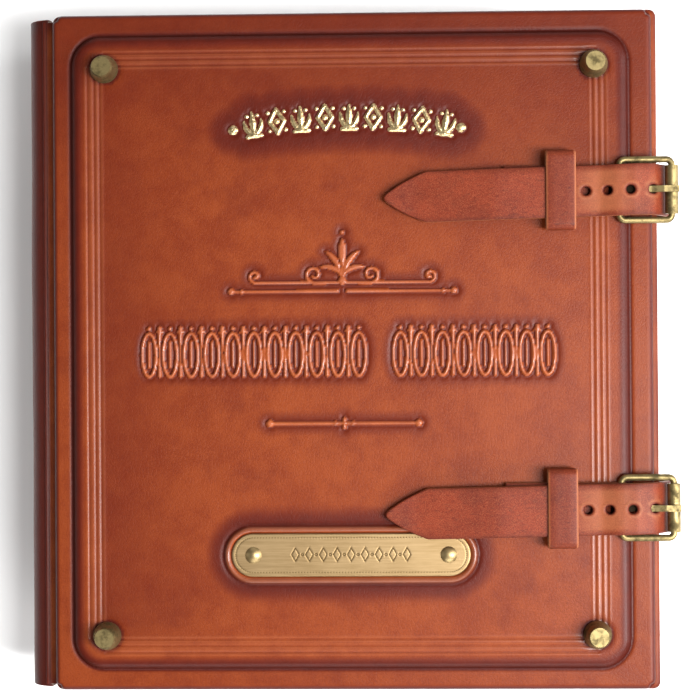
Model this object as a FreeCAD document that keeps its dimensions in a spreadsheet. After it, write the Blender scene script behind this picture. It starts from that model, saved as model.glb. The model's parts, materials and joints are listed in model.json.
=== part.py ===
import FreeCAD, Part
import math
import os
import Sketcher
from FreeCAD import Placement, Rotation, Vector

# A leather ring album lying closed on its back cover, in millimetres.
# +Z is up through the front cover, +Y is the head, the spine is on -X and the
# buckles hang over the fore-edge on +X. z = 0 is the tip of the back feet.

SIZES = {
    # both covers: leather-covered case board, padded outer panel, raised field
    "cover_width": 241.0,
    "cover_height": 270.0,
    "case_depth": 4.0,
    "case_leather": 0.9,
    "panel_depth": 3.4,
    "panel_leather": 1.2,
    "panel_lip": 2.3,
    "panel_inset": 0.4,
    "panel_corner": 4.0,
    "edge_round": 2.2,
    "field_rise": 3.0,
    "field_width": 220.4,
    "field_height": 251.3,
    "field_corner": 12.0,
    "field_shift": -0.9,
    "lining_depth": 0.6,
    "lining_inset": 7.0,
    # rounded spine
    "spine_bulge": 11.8,
    "spine_drop": 7.0,
    "spine_leather": 1.4,
    "spine_board": 2.2,
    "spine_lining": 0.6,
    "spine_inset": 1.0,
    "hinge_gap": 2.0,
    # bag feet, four on each cover
    "stud_radius": 5.5,
    "stud_top_radius": 3.75,
    "stud_rise": 7.7,
    "stud_rim": 1.1,
    "stud_shank_radius": 1.6,
    "stud_shank_length": 4.5,
    "stud_spacing_x": 193.4,
    "stud_spacing_y": 224.4,
    # name plate and its two rivets
    "plate_length": 94.5,
    "plate_width": 17.2,
    "plate_depth": 1.0,
    "plate_y": -80.5,
    "plate_rivet_spacing": 77.0,
    "rivet_head_radius": 3.3,
    "rivet_head_rise": 1.5,
    "rivet_shank_radius": 1.2,
    "rivet_shank_length": 3.5,
    # straps; places along X are measured in from the fore-edge
    "strap_width": 20.0,
    "strap_thickness": 2.2,
    "strap_y": 62.2,
    "strap_reach": 108.9,
    "strap_point": 17.0,
    "strap_bend": 12.0,
    "anchor_length": 58.0,
    "anchor_rivet_inset": 9.0,
    "anchor_rivet_pitch": 24.0,
    "prong_hole_inset": 3.9,
    "hole_pitch": 8.55,
    "hole_radius": 1.6,
    # buckles
    "heel_inset": 16.2,
    "bar_spacing": 20.4,
    "wire_radius": 1.3,
    "frame_width": 26.3,
    "frame_corner": 2.2,
    "roller_radius": 2.6,
    "roller_length": 18.9,
    "pin_clearance": 0.05,
    "prong_width": 2.4,
    "prong_thickness": 2.0,
    "chape_thickness": 1.2,
    "chape_reach": 61.5,
    "chape_slot": 5.4,
    # keepers
    "keeper_inset": 39.4,
    "keeper_length": 11.6,
    "keeper_width": 31.4,
    "keeper_wall": 2.2,
    "keeper_floor": 1.0,
    "keeper_roof": 1.2,
    # ring mechanism
    "ring_inset": 25.5,
    "ring_radius": 15.5,
    "ring_clearance": 2.5,
    "ring_seat": 0.8,
    "ring_wire": 1.4,
    "ring_spacing": 62.0,
    "base_half_width": 11.5,
    "base_cover": 2.3,
    "base_sheet": 0.8,
    "base_length": 236.0,
    "hinge_plate_width": 7.0,
    "hinge_plate_depth": 1.0,
    "hinge_plate_length": 192.0,
    "lever_width": 9.0,
    "lever_pin_radius": 0.9,
    # leaves
    "leaf_width": 202.0,
    "leaf_height": 252.0,
    "leaf_thickness": 0.6,
    "leaf_margin": 7.0,
    "leaf_hole_radius": 2.75,
    "leaf_bend_beyond": 6.5,
    "leaf_stack_spare": 0.75,
}

LEAF_PAIRS = 6
RINGS = 4
GAP = 0.3  # between a strap and what it lies on
THROUGH = 40.0  # length of a drill that has to pass right through its piece

doc = FreeCAD.newDocument("album")
sheet = doc.addObject("Spreadsheet::Sheet", "dims")
for row, (alias, value) in enumerate(SIZES.items(), start=1):
    sheet.set("A%d" % row, alias)
    sheet.set("B%d" % row, str(value))
    sheet.setAlias("B%d" % row, alias)
doc.recompute()


def size(alias):
    return float(sheet.get(alias))


nodes = []


def keep(piece):
    nodes.append(piece)
    return piece


def bind(piece, **expressions):
    # property=expression, with __ standing for the dots of a sub-property
    for name, expression in expressions.items():
        piece.setExpression(name.replace("__", "."), expression)
    return piece


# ---- heights, from the feet up ------------------------------------------------

stud_rise = size("stud_rise")
case_depth = size("case_depth")
panel_depth = size("panel_depth")
field_rise = size("field_rise")
lining_depth = size("lining_depth")

back_field_z = stud_rise
back_panel_z = back_field_z + field_rise
back_case_z = back_panel_z + panel_depth
back_lining_z = back_case_z + case_depth
inner_floor_z = back_lining_z + lining_depth
ring_radius = size("ring_radius")
half_gap = ring_radius + size("ring_clearance")
inner_roof_z = inner_floor_z + 2 * half_gap
front_case_z = inner_roof_z + lining_depth
front_panel_z = front_case_z + case_depth
panel_top_z = front_panel_z + panel_depth
field_top_z = panel_top_z + field_rise
middle_z = inner_floor_z + half_gap
ring_axis_z = middle_z - ring_radius + size("ring_seat")
base_rise = ring_axis_z - inner_floor_z + size("base_cover")
front_hinge_z = panel_top_z - size("spine_drop")
back_hinge_z = 2 * middle_z - front_hinge_z

# ---- places along X, spine to fore-edge ----------------------------------------

roller_radius = size("roller_radius")
roller_beyond = size("bar_spacing") - size("heel_inset")
overall_width = size("spine_bulge") + size("cover_width") + roller_beyond + roller_radius
cover_left = size("spine_bulge") - overall_width / 2
fore_edge = cover_left + size("cover_width")
hinge_x = cover_left - size("hinge_gap")
case_x = (cover_left + fore_edge) / 2
panel_left = cover_left + size("panel_inset")
panel_right = fore_edge - size("panel_lip")
panel_x = (panel_left + panel_right) / 2
field_x = panel_x + size("field_shift")
heel_x = fore_edge - size("heel_inset")
roller_x = heel_x + size("bar_spacing")
keeper_x = fore_edge - size("keeper_inset")
ring_x = cover_left + size("ring_inset")

# ---- heights of the strap's layers above the raised field ------------------------

chape = size("chape_thickness")
strap = size("strap_thickness")
wire = size("wire_radius")
pin_gap = size("pin_clearance")
seat = 0.05
bar_loop = wire + 0.1 + chape / 2
heel_z = field_top_z + seat + chape / 2 + bar_loop
chape_low_z = field_top_z + seat + chape / 2
keeper_bottom_z = chape_low_z + chape / 2 + 0.1
chape_high_z = keeper_bottom_z + size("keeper_floor") + 0.1 + chape / 2
billet_z = chape_high_z + chape / 2 + GAP + strap / 2
keeper_roof_z = billet_z + strap / 2 + 0.2
prong_base_z = heel_z + wire + pin_gap + size("prong_thickness") / 2 - 0.4
prong_top_z = heel_z + roller_radius + 0.1 + size("prong_thickness") / 2
billet_crest_z = prong_base_z + size("prong_thickness") / 2 + GAP + strap / 2
tip_z = field_top_z + size("plate_depth") + GAP + strap / 2
strap_out_x = roller_x - 0.7

# ---- turning points of the straps: the bend under the fore-edge and the one over it --

low_turn = Vector(strap_out_x - size("strap_bend"), 0, stud_rise + size("strap_bend") - 3.7)
high_turn = Vector(strap_out_x - 7.0, 0, field_top_z - 0.7)


# ---- helpers ---------------------------------------------------------------------

def new_body(label):
    return doc.addObject("PartDesign::Body", label)


def new_sketch(body, role, name):
    plane = [item for item in body.Origin.OriginFeatures if item.Role == role][0]
    drawing = body.newObject("Sketcher::SketchObject", name)
    drawing.AttachmentSupport = [(plane, "")]
    drawing.MapMode = "FlatFace"
    return drawing


def draw_rectangle(drawing, width, height):
    # a rectangle centred on the sketch origin, its two sizes bound to the sheet
    start = [Vector(-10, -10, 0), Vector(10, -10, 0), Vector(10, 10, 0), Vector(-10, 10, 0)]
    for index in range(4):
        drawing.addGeometry(Part.LineSegment(start[index], start[(index + 1) % 4]), False)
    for index in range(4):
        drawing.addConstraint(Sketcher.Constraint("Coincident", index, 2, (index + 1) % 4, 1))
    for index in (0, 2):
        drawing.addConstraint(Sketcher.Constraint("Horizontal", index))
        drawing.addConstraint(Sketcher.Constraint("Vertical", index + 1))
    drawing.addConstraint(Sketcher.Constraint("Symmetric", 0, 1, 2, 1, -1, 1))
    across = drawing.addConstraint(Sketcher.Constraint("DistanceX", 0, 1, 0, 2, 20.0))
    up = drawing.addConstraint(Sketcher.Constraint("DistanceY", 1, 1, 1, 2, 20.0))
    drawing.setExpression("Constraints[%d]" % across, width)
    drawing.setExpression("Constraints[%d]" % up, height)


def draw_outline(drawing, edges):
    for edge in edges:
        drawing.addGeometry(edge, False)


def add_pad(body, drawing, length, midplane=False):
    pad = body.newObject("PartDesign::Pad", "pad_" + body.Label)
    pad.Profile = drawing
    if midplane:
        pad.SideType = "Symmetric"
    pad.setExpression("Length", length)
    doc.recompute()
    return pad


def round_edges(body, feature, radius, chosen):
    # chosen(edge) is true for the edges that are rounded
    names = ["Edge%d" % (index + 1) for index, edge in enumerate(feature.Shape.Edges) if chosen(edge)]
    if not names:
        raise RuntimeError("no edge to round on " + body.Label)
    fillet = body.newObject("PartDesign::Fillet", "round_" + body.Label)
    fillet.Base = (feature, names)
    fillet.setExpression("Radius", radius)
    doc.recompute()
    return fillet


def is_upright(edge):
    box = edge.BoundBox
    return box.XLength < 1e-6 and box.YLength < 1e-6


def lies_at(height):
    return lambda edge: abs(edge.BoundBox.ZMin - height) < 1e-4 and abs(edge.BoundBox.ZMax - height) < 1e-4


def slab(label, width, height, depth, place, corner=None):
    # a flat rectangular piece whose lower face's middle is at place
    body = new_body(label)
    drawing = new_sketch(body, "XY_Plane", "outline_" + label)
    draw_rectangle(drawing, width, height)
    feature = add_pad(body, drawing, depth)
    if corner:
        round_edges(body, feature, corner, is_upright)
    body.Placement.Base = place
    return body


def cut(label, base, tools):
    # base less each tool; the tools stay as pieces of their own
    for index, tool in enumerate(tools):
        piece = doc.addObject("Part::Cut", label if index == len(tools) - 1 else label + "_stage")
        piece.Base = base
        piece.Tool = tool
        base = piece
    doc.recompute()
    return base


def shaped(label, shape):
    # a piece made directly from a shape worked out from the sheet
    piece = doc.addObject("Part::Feature", label)
    piece.Shape = shape
    return piece


def copies(label, source, places):
    return shaped(label, Part.makeCompound([source.Shape.translated(place) for place in places]))


def flipped(label, source):
    # the same piece turned over about the album's middle height, head to tail
    turn = Placement(Vector(0, 0, 2 * middle_z), Rotation(Vector(1, 0, 0), 180))
    return shaped(label, source.Shape.transformed(turn.toMatrix()))


def corners_of(spacing_x, spacing_y):
    return [Vector(side * spacing_x / 2, end * spacing_y / 2, 0) for side in (-1, 1) for end in (-1, 1)]


def offset_side(points, radii, shift):
    # one side of a bent strip: lines along the points, arcs at the inner corners
    edges = []
    ways = [(points[k + 1] - points[k]).normalize() for k in range(len(points) - 1)]
    normals = [Vector(-way.y, way.x, 0) for way in ways]
    here = points[0] + normals[0] * shift
    for k in range(1, len(points) - 1):
        turn = math.atan2(ways[k - 1].cross(ways[k]).z, ways[k - 1].dot(ways[k]))
        side = 1 if turn > 0 else -1
        setback = radii[k - 1] * math.tan(abs(turn) / 2)
        centre = points[k] - ways[k - 1] * setback + normals[k - 1] * side * radii[k - 1]
        arc_in = points[k] - ways[k - 1] * setback + normals[k - 1] * shift
        arc_out = points[k] + ways[k] * setback + normals[k] * shift
        radius = radii[k - 1] - side * shift
        outward = (points[k] - centre).normalize()
        if here.distanceToPoint(arc_in) > 1e-6:
            edges.append(Part.LineSegment(here, arc_in))
        edges.append(Part.Arc(arc_in, centre + outward * radius, arc_out))
        here = arc_out
    edges.append(Part.LineSegment(here, points[-1] + normals[-1] * shift))
    return edges


def strip_outline(points, radii, thickness, depth):
    # closed outline of a strip of even thickness along a line with rounded corners;
    # depth is how far its middle lies to the left of the line
    points = [Vector(x, z, 0) for x, z in points]
    left = offset_side(points, radii, depth + thickness / 2)
    right = offset_side(points, radii, depth - thickness / 2)
    caps = [
        Part.LineSegment(left[0].StartPoint, right[0].StartPoint),
        Part.LineSegment(left[-1].EndPoint, right[-1].EndPoint),
    ]
    return left + right + caps


def strip(label, points, radii, thickness, width, depth=0.0):
    # a strip bent in the XZ plane and centred on y = 0, its width bound to the sheet
    body = new_body(label)
    drawing = new_sketch(body, "XZ_Plane", "section_" + label)
    draw_outline(drawing, strip_outline(points, radii, thickness, depth))
    add_pad(body, drawing, width, midplane=True)
    return body


def moved_y(label, source, y):
    return shaped(label, source.Shape.translated(Vector(0, y, 0)))


def rod(start, way, radius, length):
    return Part.makeCylinder(radius, length, start, way)


# ---- covers ----------------------------------------------------------------------

def panel_solid(label, shrink, rounded):
    # the padded panel with its raised field; shrink is the leather that goes round it
    body = new_body(label)
    inset = "2 * %s" % shrink
    drawing = new_sketch(body, "XY_Plane", "panel_outline_" + label)
    width = "dims.cover_width - dims.panel_inset - dims.panel_lip - " + inset
    height = "dims.cover_height - 2 * dims.panel_inset - " + inset
    draw_rectangle(drawing, width, height)
    feature = add_pad(body, drawing, "dims.panel_depth - " + shrink)
    feature = round_edges(body, feature, "dims.panel_corner - %s" % shrink, is_upright)
    low_top = feature.Shape.BoundBox.ZMax
    if rounded:
        feature = round_edges(body, feature, "dims.edge_round", lies_at(low_top))
    drawing = new_sketch(body, "XY_Plane", "field_outline_" + label)
    draw_rectangle(drawing, "dims.field_width - " + inset, "dims.field_height - " + inset)
    drawing.setExpression("AttachmentOffset.Base.x", "dims.field_shift")
    feature = add_pad(body, drawing, "dims.panel_depth + dims.field_rise - " + shrink)

    def field_post(edge):
        box = edge.BoundBox
        inside = abs(box.YMin) < size("field_height") / 2 + 0.01
        return is_upright(edge) and box.ZMax > low_top + 0.01 and inside

    feature = round_edges(body, feature, "dims.field_corner - " + shrink, field_post)
    if rounded:
        round_edges(body, feature, "dims.edge_round", lies_at(feature.Shape.BoundBox.ZMax))
    body.Placement.Base = Vector(panel_x, 0, front_panel_z)
    return body


def make_front_cover():
    case_board = slab(
        "front_case_board", "dims.cover_width - 2 * dims.case_leather",
        "dims.cover_height - 2 * dims.case_leather", "dims.case_depth - dims.case_leather",
        Vector(case_x, 0, front_case_z), "dims.panel_corner - dims.case_leather")
    case_blank = slab(
        "case_blank", "dims.cover_width", "dims.cover_height", "dims.case_depth",
        Vector(case_x, 0, front_case_z), "dims.panel_corner")
    lining = slab(
        "front_lining", "dims.cover_width - 2 * dims.lining_inset",
        "dims.cover_height - 2 * dims.lining_inset", "dims.lining_depth",
        Vector(case_x, 0, inner_roof_z))
    core = panel_solid("panel_core_blank", "dims.panel_leather", False)
    skin = panel_solid("panel_skin_blank", "0", True)
    return case_board, case_blank, lining, core, skin


def stud_shape():
    # a cone with a rimmed flat top and a plain shank, standing on z = 0
    radius = size("stud_radius")
    top = size("stud_top_radius")
    rise = size("stud_rise")
    rim = size("stud_rim")
    foot = size("stud_shank_radius")
    body = new_body("stud_blank")
    drawing = new_sketch(body, "XZ_Plane", "stud_section")
    corners = [
        (0, -size("stud_shank_length")), (foot, -size("stud_shank_length")), (foot, 0), (radius, 0),
        (radius, rim), (top + 0.5, rise - rim), (top, rise), (0, rise)]
    points = [Vector(x, z, 0) for x, z in corners]
    draw_outline(drawing, [Part.LineSegment(a, b) for a, b in zip(points, points[1:] + points[:1])])
    turn = body.newObject("PartDesign::Revolution", "stud_turn")
    turn.Profile = drawing
    turn.ReferenceAxis = (drawing, ["V_Axis"])
    turn.Angle = 360
    doc.recompute()
    return body


case_board, case_blank, front_lining, core_blank, skin_blank = make_front_cover()
stud = stud_shape()
stud_places = [
    Vector(field_x, 0, field_top_z) + corner
    for corner in corners_of(size("stud_spacing_x"), size("stud_spacing_y"))]
front_studs = copies("front_studs", stud, stud_places)
plate_rivet_places = [
    Vector(field_x + side * size("plate_rivet_spacing") / 2, size("plate_y"), field_top_z)
    for side in (-1, 1)]

down = Vector(0, 0, -1)
up = Vector(0, 0, 1)
stud_holes = [
    rod(place, down, size("stud_shank_radius") + pin_gap, size("stud_shank_length") + pin_gap)
    for place in stud_places]
rivet_holes = [
    rod(place, down, size("rivet_shank_radius") + pin_gap, size("rivet_shank_length") + pin_gap)
    for place in plate_rivet_places]
front_drilling = shaped("front_drilling", Part.makeCompound(stud_holes + rivet_holes))

first_rivet_x = fore_edge - size("anchor_length") + size("anchor_rivet_inset")
anchor_rivet_x = [first_rivet_x, first_rivet_x + size("anchor_rivet_pitch")]
anchor_rivet_places = [
    Vector(x, side * size("strap_y"), back_field_z) for x in anchor_rivet_x for side in (-1, 1)]
anchor_holes = [
    rod(place, up, size("rivet_shank_radius") + pin_gap, size("rivet_shank_length") + pin_gap)
    for place in anchor_rivet_places]
base_rivet_y = size("hinge_plate_length") / 2 + size("rivet_head_radius") + 1.7
base_rivet_places = [Vector(ring_x, side * base_rivet_y, 0) for side in (-1, 1)]
base_holes = [
    rod(place, up, size("rivet_shank_radius") + pin_gap, inner_floor_z + base_rise)
    for place in base_rivet_places]
back_stud_holes = [
    rod(Vector(place.x, place.y, back_field_z), up, size("stud_shank_radius") + pin_gap,
        size("stud_shank_length") + pin_gap)
    for place in stud_places]
back_drilling = shaped("back_drilling", Part.makeCompound(back_stud_holes + anchor_holes + base_holes))

keep(case_board)
keep(front_lining)
front_case_leather = keep(cut("front_case_leather", case_blank, [case_board]))
front_panel_board = keep(cut("front_panel_board", core_blank, [front_drilling]))
front_panel_leather = keep(cut("front_panel_leather", skin_blank, [core_blank, front_drilling]))
keep(front_studs)

back_blanks = {
    "back_case_board": case_board, "back_case_leather": front_case_leather, "back_lining": front_lining}
for label, source in back_blanks.items():
    blank = flipped(label + "_blank", source)
    keep(cut(label, blank, [back_drilling]))
back_core = flipped("back_core_blank", core_blank)
back_skin = flipped("back_skin_blank", skin_blank)
keep(cut("back_panel_board", back_core, [back_drilling]))
keep(cut("back_panel_leather", back_skin, [back_core, back_drilling]))
keep(flipped("back_feet", front_studs))


# ---- name plate -------------------------------------------------------------------

plate_blank = slab(
    "plate_blank", "dims.plate_length", "dims.plate_width", "dims.plate_depth",
    Vector(field_x, size("plate_y"), field_top_z), "dims.plate_width / 2 - 0.01")
keep(cut("name_plate", plate_blank, [shaped("plate_holes", Part.makeCompound([
    rod(place, up, size("rivet_shank_radius") + pin_gap, 3) for place in plate_rivet_places]))]))


def domed_rivet(place, way, seat_height):
    # a shallow dome on a shank; way points from the head down the shank
    head = size("rivet_head_radius")
    rise = size("rivet_head_rise")
    ball_radius = (head * head + rise * rise) / (2 * rise)
    base = place - way * seat_height
    ball = Part.makeSphere(ball_radius, base + way * (ball_radius - rise))
    dome = ball.common(rod(base - way * rise, way, head, rise))
    shank = rod(base, way, size("rivet_shank_radius"), seat_height + size("rivet_shank_length"))
    return dome.fuse(shank)


keep(shaped("plate_rivets", Part.makeCompound([
    domed_rivet(place, down, size("plate_depth")) for place in plate_rivet_places])))


# ---- spine ------------------------------------------------------------------------

def spine_line():
    # the outer face's curve, from the front hinge round to the back one
    out = hinge_x - size("spine_bulge") + size("hinge_gap")
    shoulder = 0.28 * (front_hinge_z - back_hinge_z)
    knee_x = hinge_x + 0.75 * (out - hinge_x)
    knee = 0.07 * (front_hinge_z - back_hinge_z)
    near = hinge_x - 1.0
    return [(near, front_hinge_z), (knee_x, front_hinge_z - knee), (out, front_hinge_z - shoulder),
            (out, back_hinge_z + shoulder), (knee_x, back_hinge_z + knee), (near, back_hinge_z)]


spine_turns = [9.0, 20.0, 20.0, 9.0]
layer_depth = 0.0
for layer in ("spine_leather", "spine_board", "spine_lining"):
    thickness = size(layer)
    keep(strip(layer, spine_line(), spine_turns, thickness, "dims.cover_height - 2 * dims.spine_inset",
               layer_depth + thickness / 2))
    layer_depth += thickness


# ---- straps -----------------------------------------------------------------------

bend = size("strap_bend")
anchor_z = back_field_z - strap / 2 - seat
bend_x = strap_out_x - bend
side_top_z = field_top_z - 8.0
crossing_x = fore_edge - size("prong_hole_inset")
crossing_z = prong_base_z + (prong_top_z - prong_base_z) * 0.45
tip_x = fore_edge - size("strap_reach")
chape_end_x = fore_edge - size("chape_reach")

anchor_strap = strip(
    "anchor_blank", [(fore_edge - size("anchor_length"), anchor_z), (bend_x, anchor_z)], [],
    strap, "dims.strap_width")
anchor_punch = shaped("anchor_punch", Part.makeCompound([
    rod(Vector(x, 0, 0), up, size("rivet_shank_radius") + pin_gap, 12) for x in anchor_rivet_x]))
anchor_piece = cut("anchor_piece", anchor_strap, [anchor_punch])
side_strap = strip(
    "side_blank", [(bend_x, anchor_z), (strap_out_x, anchor_z), (strap_out_x, side_top_z)], [bend - 0.01],
    strap, "dims.strap_width")
billet_line = [
    (strap_out_x, side_top_z), (strap_out_x, field_top_z - 5.0), (roller_x - 3.3, heel_z - 3.0),
    (crossing_x, crossing_z), (heel_x + 5.5, billet_crest_z), (heel_x - 1.0, billet_crest_z),
    (heel_x - 7.5, billet_z), (chape_end_x - 3.0, billet_z), (chape_end_x - 14.0, tip_z), (tip_x, tip_z)]
billet_turns = [4.0, 4.0, 4.0, 4.0, 5.0, 6.0, 8.0, 8.0]
billet_blank = strip("billet_blank", billet_line, billet_turns, strap, "dims.strap_width")

# the pointed end, in plan: two slightly convex sides meeting at the tip
half = size("strap_width") / 2
shoulder_x = tip_x + size("strap_point")
point_outline = Part.Wire([
    Part.Arc(Vector(shoulder_x, half, 0), Vector(tip_x + 7.0, half * 0.55, 0), Vector(tip_x, 0, 0)).toShape(),
    Part.Arc(Vector(tip_x, 0, 0), Vector(tip_x + 7.0, -half * 0.55, 0), Vector(shoulder_x, -half, 0)).toShape(),
    Part.LineSegment(Vector(shoulder_x, -half, 0), Vector(strap_out_x + 20, -half, 0)).toShape(),
    Part.LineSegment(Vector(strap_out_x + 20, -half, 0), Vector(strap_out_x + 20, half, 0)).toShape(),
    Part.LineSegment(Vector(strap_out_x + 20, half, 0), Vector(shoulder_x, half, 0)).toShape()])
point_tool = shaped("billet_plan", Part.Face(point_outline).extrude(Vector(0, 0, 120)))
billet_pointed = doc.addObject("Part::Common", "billet_pointed")
billet_pointed.Base = billet_blank
billet_pointed.Tool = point_tool
doc.recompute()

plain_holes = [
    rod(Vector(crossing_x - size("hole_pitch") * step, 0, field_top_z), up, size("hole_radius"), 12)
    for step in (1, 2, 3)]
prong_line = [
    (heel_x, prong_base_z), (crossing_x, crossing_z), (roller_x - 3.5, prong_top_z),
    (roller_x + 2.2, prong_top_z)]


def prong_bar(thickness, width):
    # the prong's bar; the wider, thicker copy of it cuts its way through the strap
    points = [Vector(x, -width / 2, z) for x, z in prong_line]
    solids = []
    for start, stop in zip(points, points[1:]):
        way = (stop - start).normalize()
        rise = way.cross(Vector(0, 1, 0)) * -1
        corners = [start + rise * thickness / 2, stop + rise * thickness / 2,
                   stop - rise * thickness / 2, start - rise * thickness / 2]
        face = Part.Face(Part.makePolygon(corners + corners[:1]))
        solids.append(face.extrude(Vector(0, width, 0)))
    knees = [Part.makeCylinder(thickness / 2, width, point, Vector(0, 1, 0)) for point in points[1:-1]]
    return solids[0].multiFuse(solids[1:] + knees).removeSplitter()


prong_way = prong_bar(size("prong_thickness") + 2 * GAP, size("prong_width") + 2 * GAP)
round_hole = rod(Vector(crossing_x, 0, field_top_z), up, size("hole_radius"), 12)
punch = shaped("billet_punch", prong_way.multiFuse(plain_holes + [round_hole]))
billet_piece = cut("billet_piece", billet_pointed, [punch])

chape_line = [
    (chape_end_x, chape_low_z), (heel_x + bar_loop, chape_low_z), (heel_x + bar_loop, heel_z + bar_loop),
    (heel_x - 1.5, heel_z + bar_loop), (heel_x - 6.5, chape_high_z), (chape_end_x, chape_high_z)]
chape_blank = strip("chape_blank", chape_line, [bar_loop, bar_loop, 2.5, 2.5], chape, "dims.strap_width")
chape_slot = doc.addObject("Part::Box", "chape_slot_tool")
bind(chape_slot, Width="dims.chape_slot")
chape_slot.Length = 9.0
chape_slot.Height = 12.0
chape_slot.Placement.Base = Vector(heel_x - 4.6, -size("chape_slot") / 2, field_top_z - 2)
chape_piece = cut("chape_piece", chape_blank, [chape_slot])

keeper_outer = doc.addObject("Part::Box", "keeper_outer")
bind(keeper_outer, Length="dims.keeper_length", Width="dims.keeper_width")
keeper_outer.Height = keeper_roof_z + size("keeper_roof") - keeper_bottom_z
keeper_outer.Placement.Base = Vector(
    keeper_x - size("keeper_length") / 2, -size("keeper_width") / 2, keeper_bottom_z)
keeper_window = doc.addObject("Part::Box", "keeper_window")
bind(keeper_window, Length="dims.keeper_length + 2", Width="dims.keeper_width - 2 * dims.keeper_wall")
keeper_window.Height = keeper_roof_z - keeper_bottom_z - size("keeper_floor")
keeper_window.Placement.Base = Vector(
    keeper_x - size("keeper_length") / 2 - 1, size("keeper_wall") - size("keeper_width") / 2,
    keeper_bottom_z + size("keeper_floor"))
keeper_piece = cut("keeper_piece", keeper_outer, [keeper_window])


# ---- buckles ----------------------------------------------------------------------

def frame_body():
    # a rounded rectangle of round wire, heel bar on -X and roller bar on +X
    body = new_body("frame_blank")
    reach = size("bar_spacing") / 2
    side = size("frame_width") / 2 - wire
    turn = size("frame_corner")
    path = new_sketch(body, "XY_Plane", "frame_path")
    straight = [
        ((-reach, 0), (-reach, side - turn)), ((-reach + turn, side), (reach - turn, side)),
        ((reach, side - turn), (reach, turn - side)), ((reach - turn, -side), (-reach + turn, -side)),
        ((-reach, turn - side), (-reach, 0))]
    lines = [Part.LineSegment(Vector(a[0], a[1], 0), Vector(b[0], b[1], 0)) for a, b in straight]
    bow = turn * (1 - math.sqrt(0.5))
    middles = [(-reach + bow, side - bow), (reach - bow, side - bow), (reach - bow, bow - side),
               (-reach + bow, bow - side)]
    for index, middle in enumerate(middles):
        arc = Part.Arc(lines[index].EndPoint, Vector(middle[0], middle[1], 0), lines[index + 1].StartPoint)
        draw_outline(path, [lines[index], arc])
    draw_outline(path, [lines[-1]])
    section = new_sketch(body, "XZ_Plane", "frame_section")
    circle = section.addGeometry(Part.Circle(Vector(-reach, 0, 0), Vector(0, 0, 1), wire), False)
    grip = section.addConstraint(Sketcher.Constraint("Radius", circle, wire))
    section.setExpression("Constraints[%d]" % grip, "dims.wire_radius")
    doc.recompute()
    pipe = body.newObject("PartDesign::AdditivePipe", "frame_wire")
    pipe.Profile = section
    pipe.Spine = (path, [])
    doc.recompute()
    body.Placement.Base = Vector((heel_x + roller_x) / 2, 0, heel_z)
    return body


frame = frame_body()
roller_tube = Part.makeCylinder(
    roller_radius, size("roller_length"), Vector(roller_x, -size("roller_length") / 2, heel_z), Vector(0, 1, 0))
roller_bore = Part.makeCylinder(
    wire + pin_gap, size("roller_length") + 2, Vector(roller_x, -size("roller_length") / 2 - 1, heel_z),
    Vector(0, 1, 0))
roller = shaped("roller_blank", roller_tube.cut(roller_bore))
eye_width = size("prong_width") + 0.6
eye = Part.makeCylinder(wire + pin_gap + 1.1, eye_width, Vector(heel_x, -eye_width / 2, heel_z), Vector(0, 1, 0))
eye_bore = Part.makeCylinder(wire + pin_gap, THROUGH, Vector(heel_x, -THROUGH / 2, heel_z), Vector(0, 1, 0))
prong_shank = prong_bar(size("prong_thickness"), size("prong_width"))
prong = shaped("prong_blank", eye.fuse(prong_shank).cut(eye_bore).removeSplitter())
doc.recompute()

for side, name in ((1, "upper"), (-1, "lower")):
    y = side * size("strap_y")
    keep(moved_y(name + "_strap_anchor", anchor_piece, y))
    keep(moved_y(name + "_strap_side", side_strap, y))
    keep(moved_y(name + "_strap_billet", billet_piece, y))
    keep(moved_y(name + "_chape", chape_piece, y))
    keep(moved_y(name + "_keeper", keeper_piece, y))
    keep(moved_y(name + "_buckle_frame", frame, y))
    keep(moved_y(name + "_roller", roller, y))
    keep(moved_y(name + "_prong", prong, y))
keep(shaped("anchor_rivets", Part.makeCompound([
    domed_rivet(place, up, strap + seat) for place in anchor_rivet_places])))


# ---- ring mechanism, on the back cover's lining --------------------------------------

sheet_metal = size("base_sheet")
base_half = size("base_half_width")
ring_wire = size("ring_wire")
ring_y = [(index - (RINGS - 1) / 2) * size("ring_spacing") for index in range(RINGS)]

base_top = inner_floor_z + base_rise - sheet_metal / 2
base_line = [
    (ring_x - base_half + 0.4, inner_floor_z), (ring_x - base_half + 1.2, inner_floor_z + 3.2),
    (ring_x - base_half + 4.0, base_top), (ring_x + base_half - 4.0, base_top),
    (ring_x + base_half - 1.2, inner_floor_z + 3.2), (ring_x + base_half - 0.4, inner_floor_z)]
base_blank = strip("base_blank", base_line, [2.0, 2.0, 2.0, 2.0], sheet_metal, "dims.base_length")
notch_width = 2 * ring_wire + 1.4
notches = [
    Part.makeBox(base_half, notch_width, 14,
                 Vector(ring_x + (4.0 if side > 0 else -4.0 - base_half), y - notch_width / 2,
                        inner_floor_z - 1))
    for y in ring_y for side in (-1, 1)]
lever_pin_y = size("base_length") / 2 - 3.0
lever_pin_z = inner_floor_z + 2.4
pin_radius = size("lever_pin_radius")
pin_holes = [
    rod(Vector(ring_x - THROUGH / 2, side * lever_pin_y, lever_pin_z), Vector(1, 0, 0), pin_radius + pin_gap,
        THROUGH)
    for side in (-1, 1)]
trimmed_foot = Part.makeBox(60, size("base_length") + 10, 4,
                            Vector(ring_x - 30, -size("base_length") / 2 - 5, inner_floor_z - 4))
base_cuts = shaped("base_cuts", Part.makeCompound(notches + pin_holes + [trimmed_foot]))
base_plate = cut("base_undrilled", base_blank, [base_cuts])
keep(cut("ring_base", base_plate, [back_drilling]))

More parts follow.
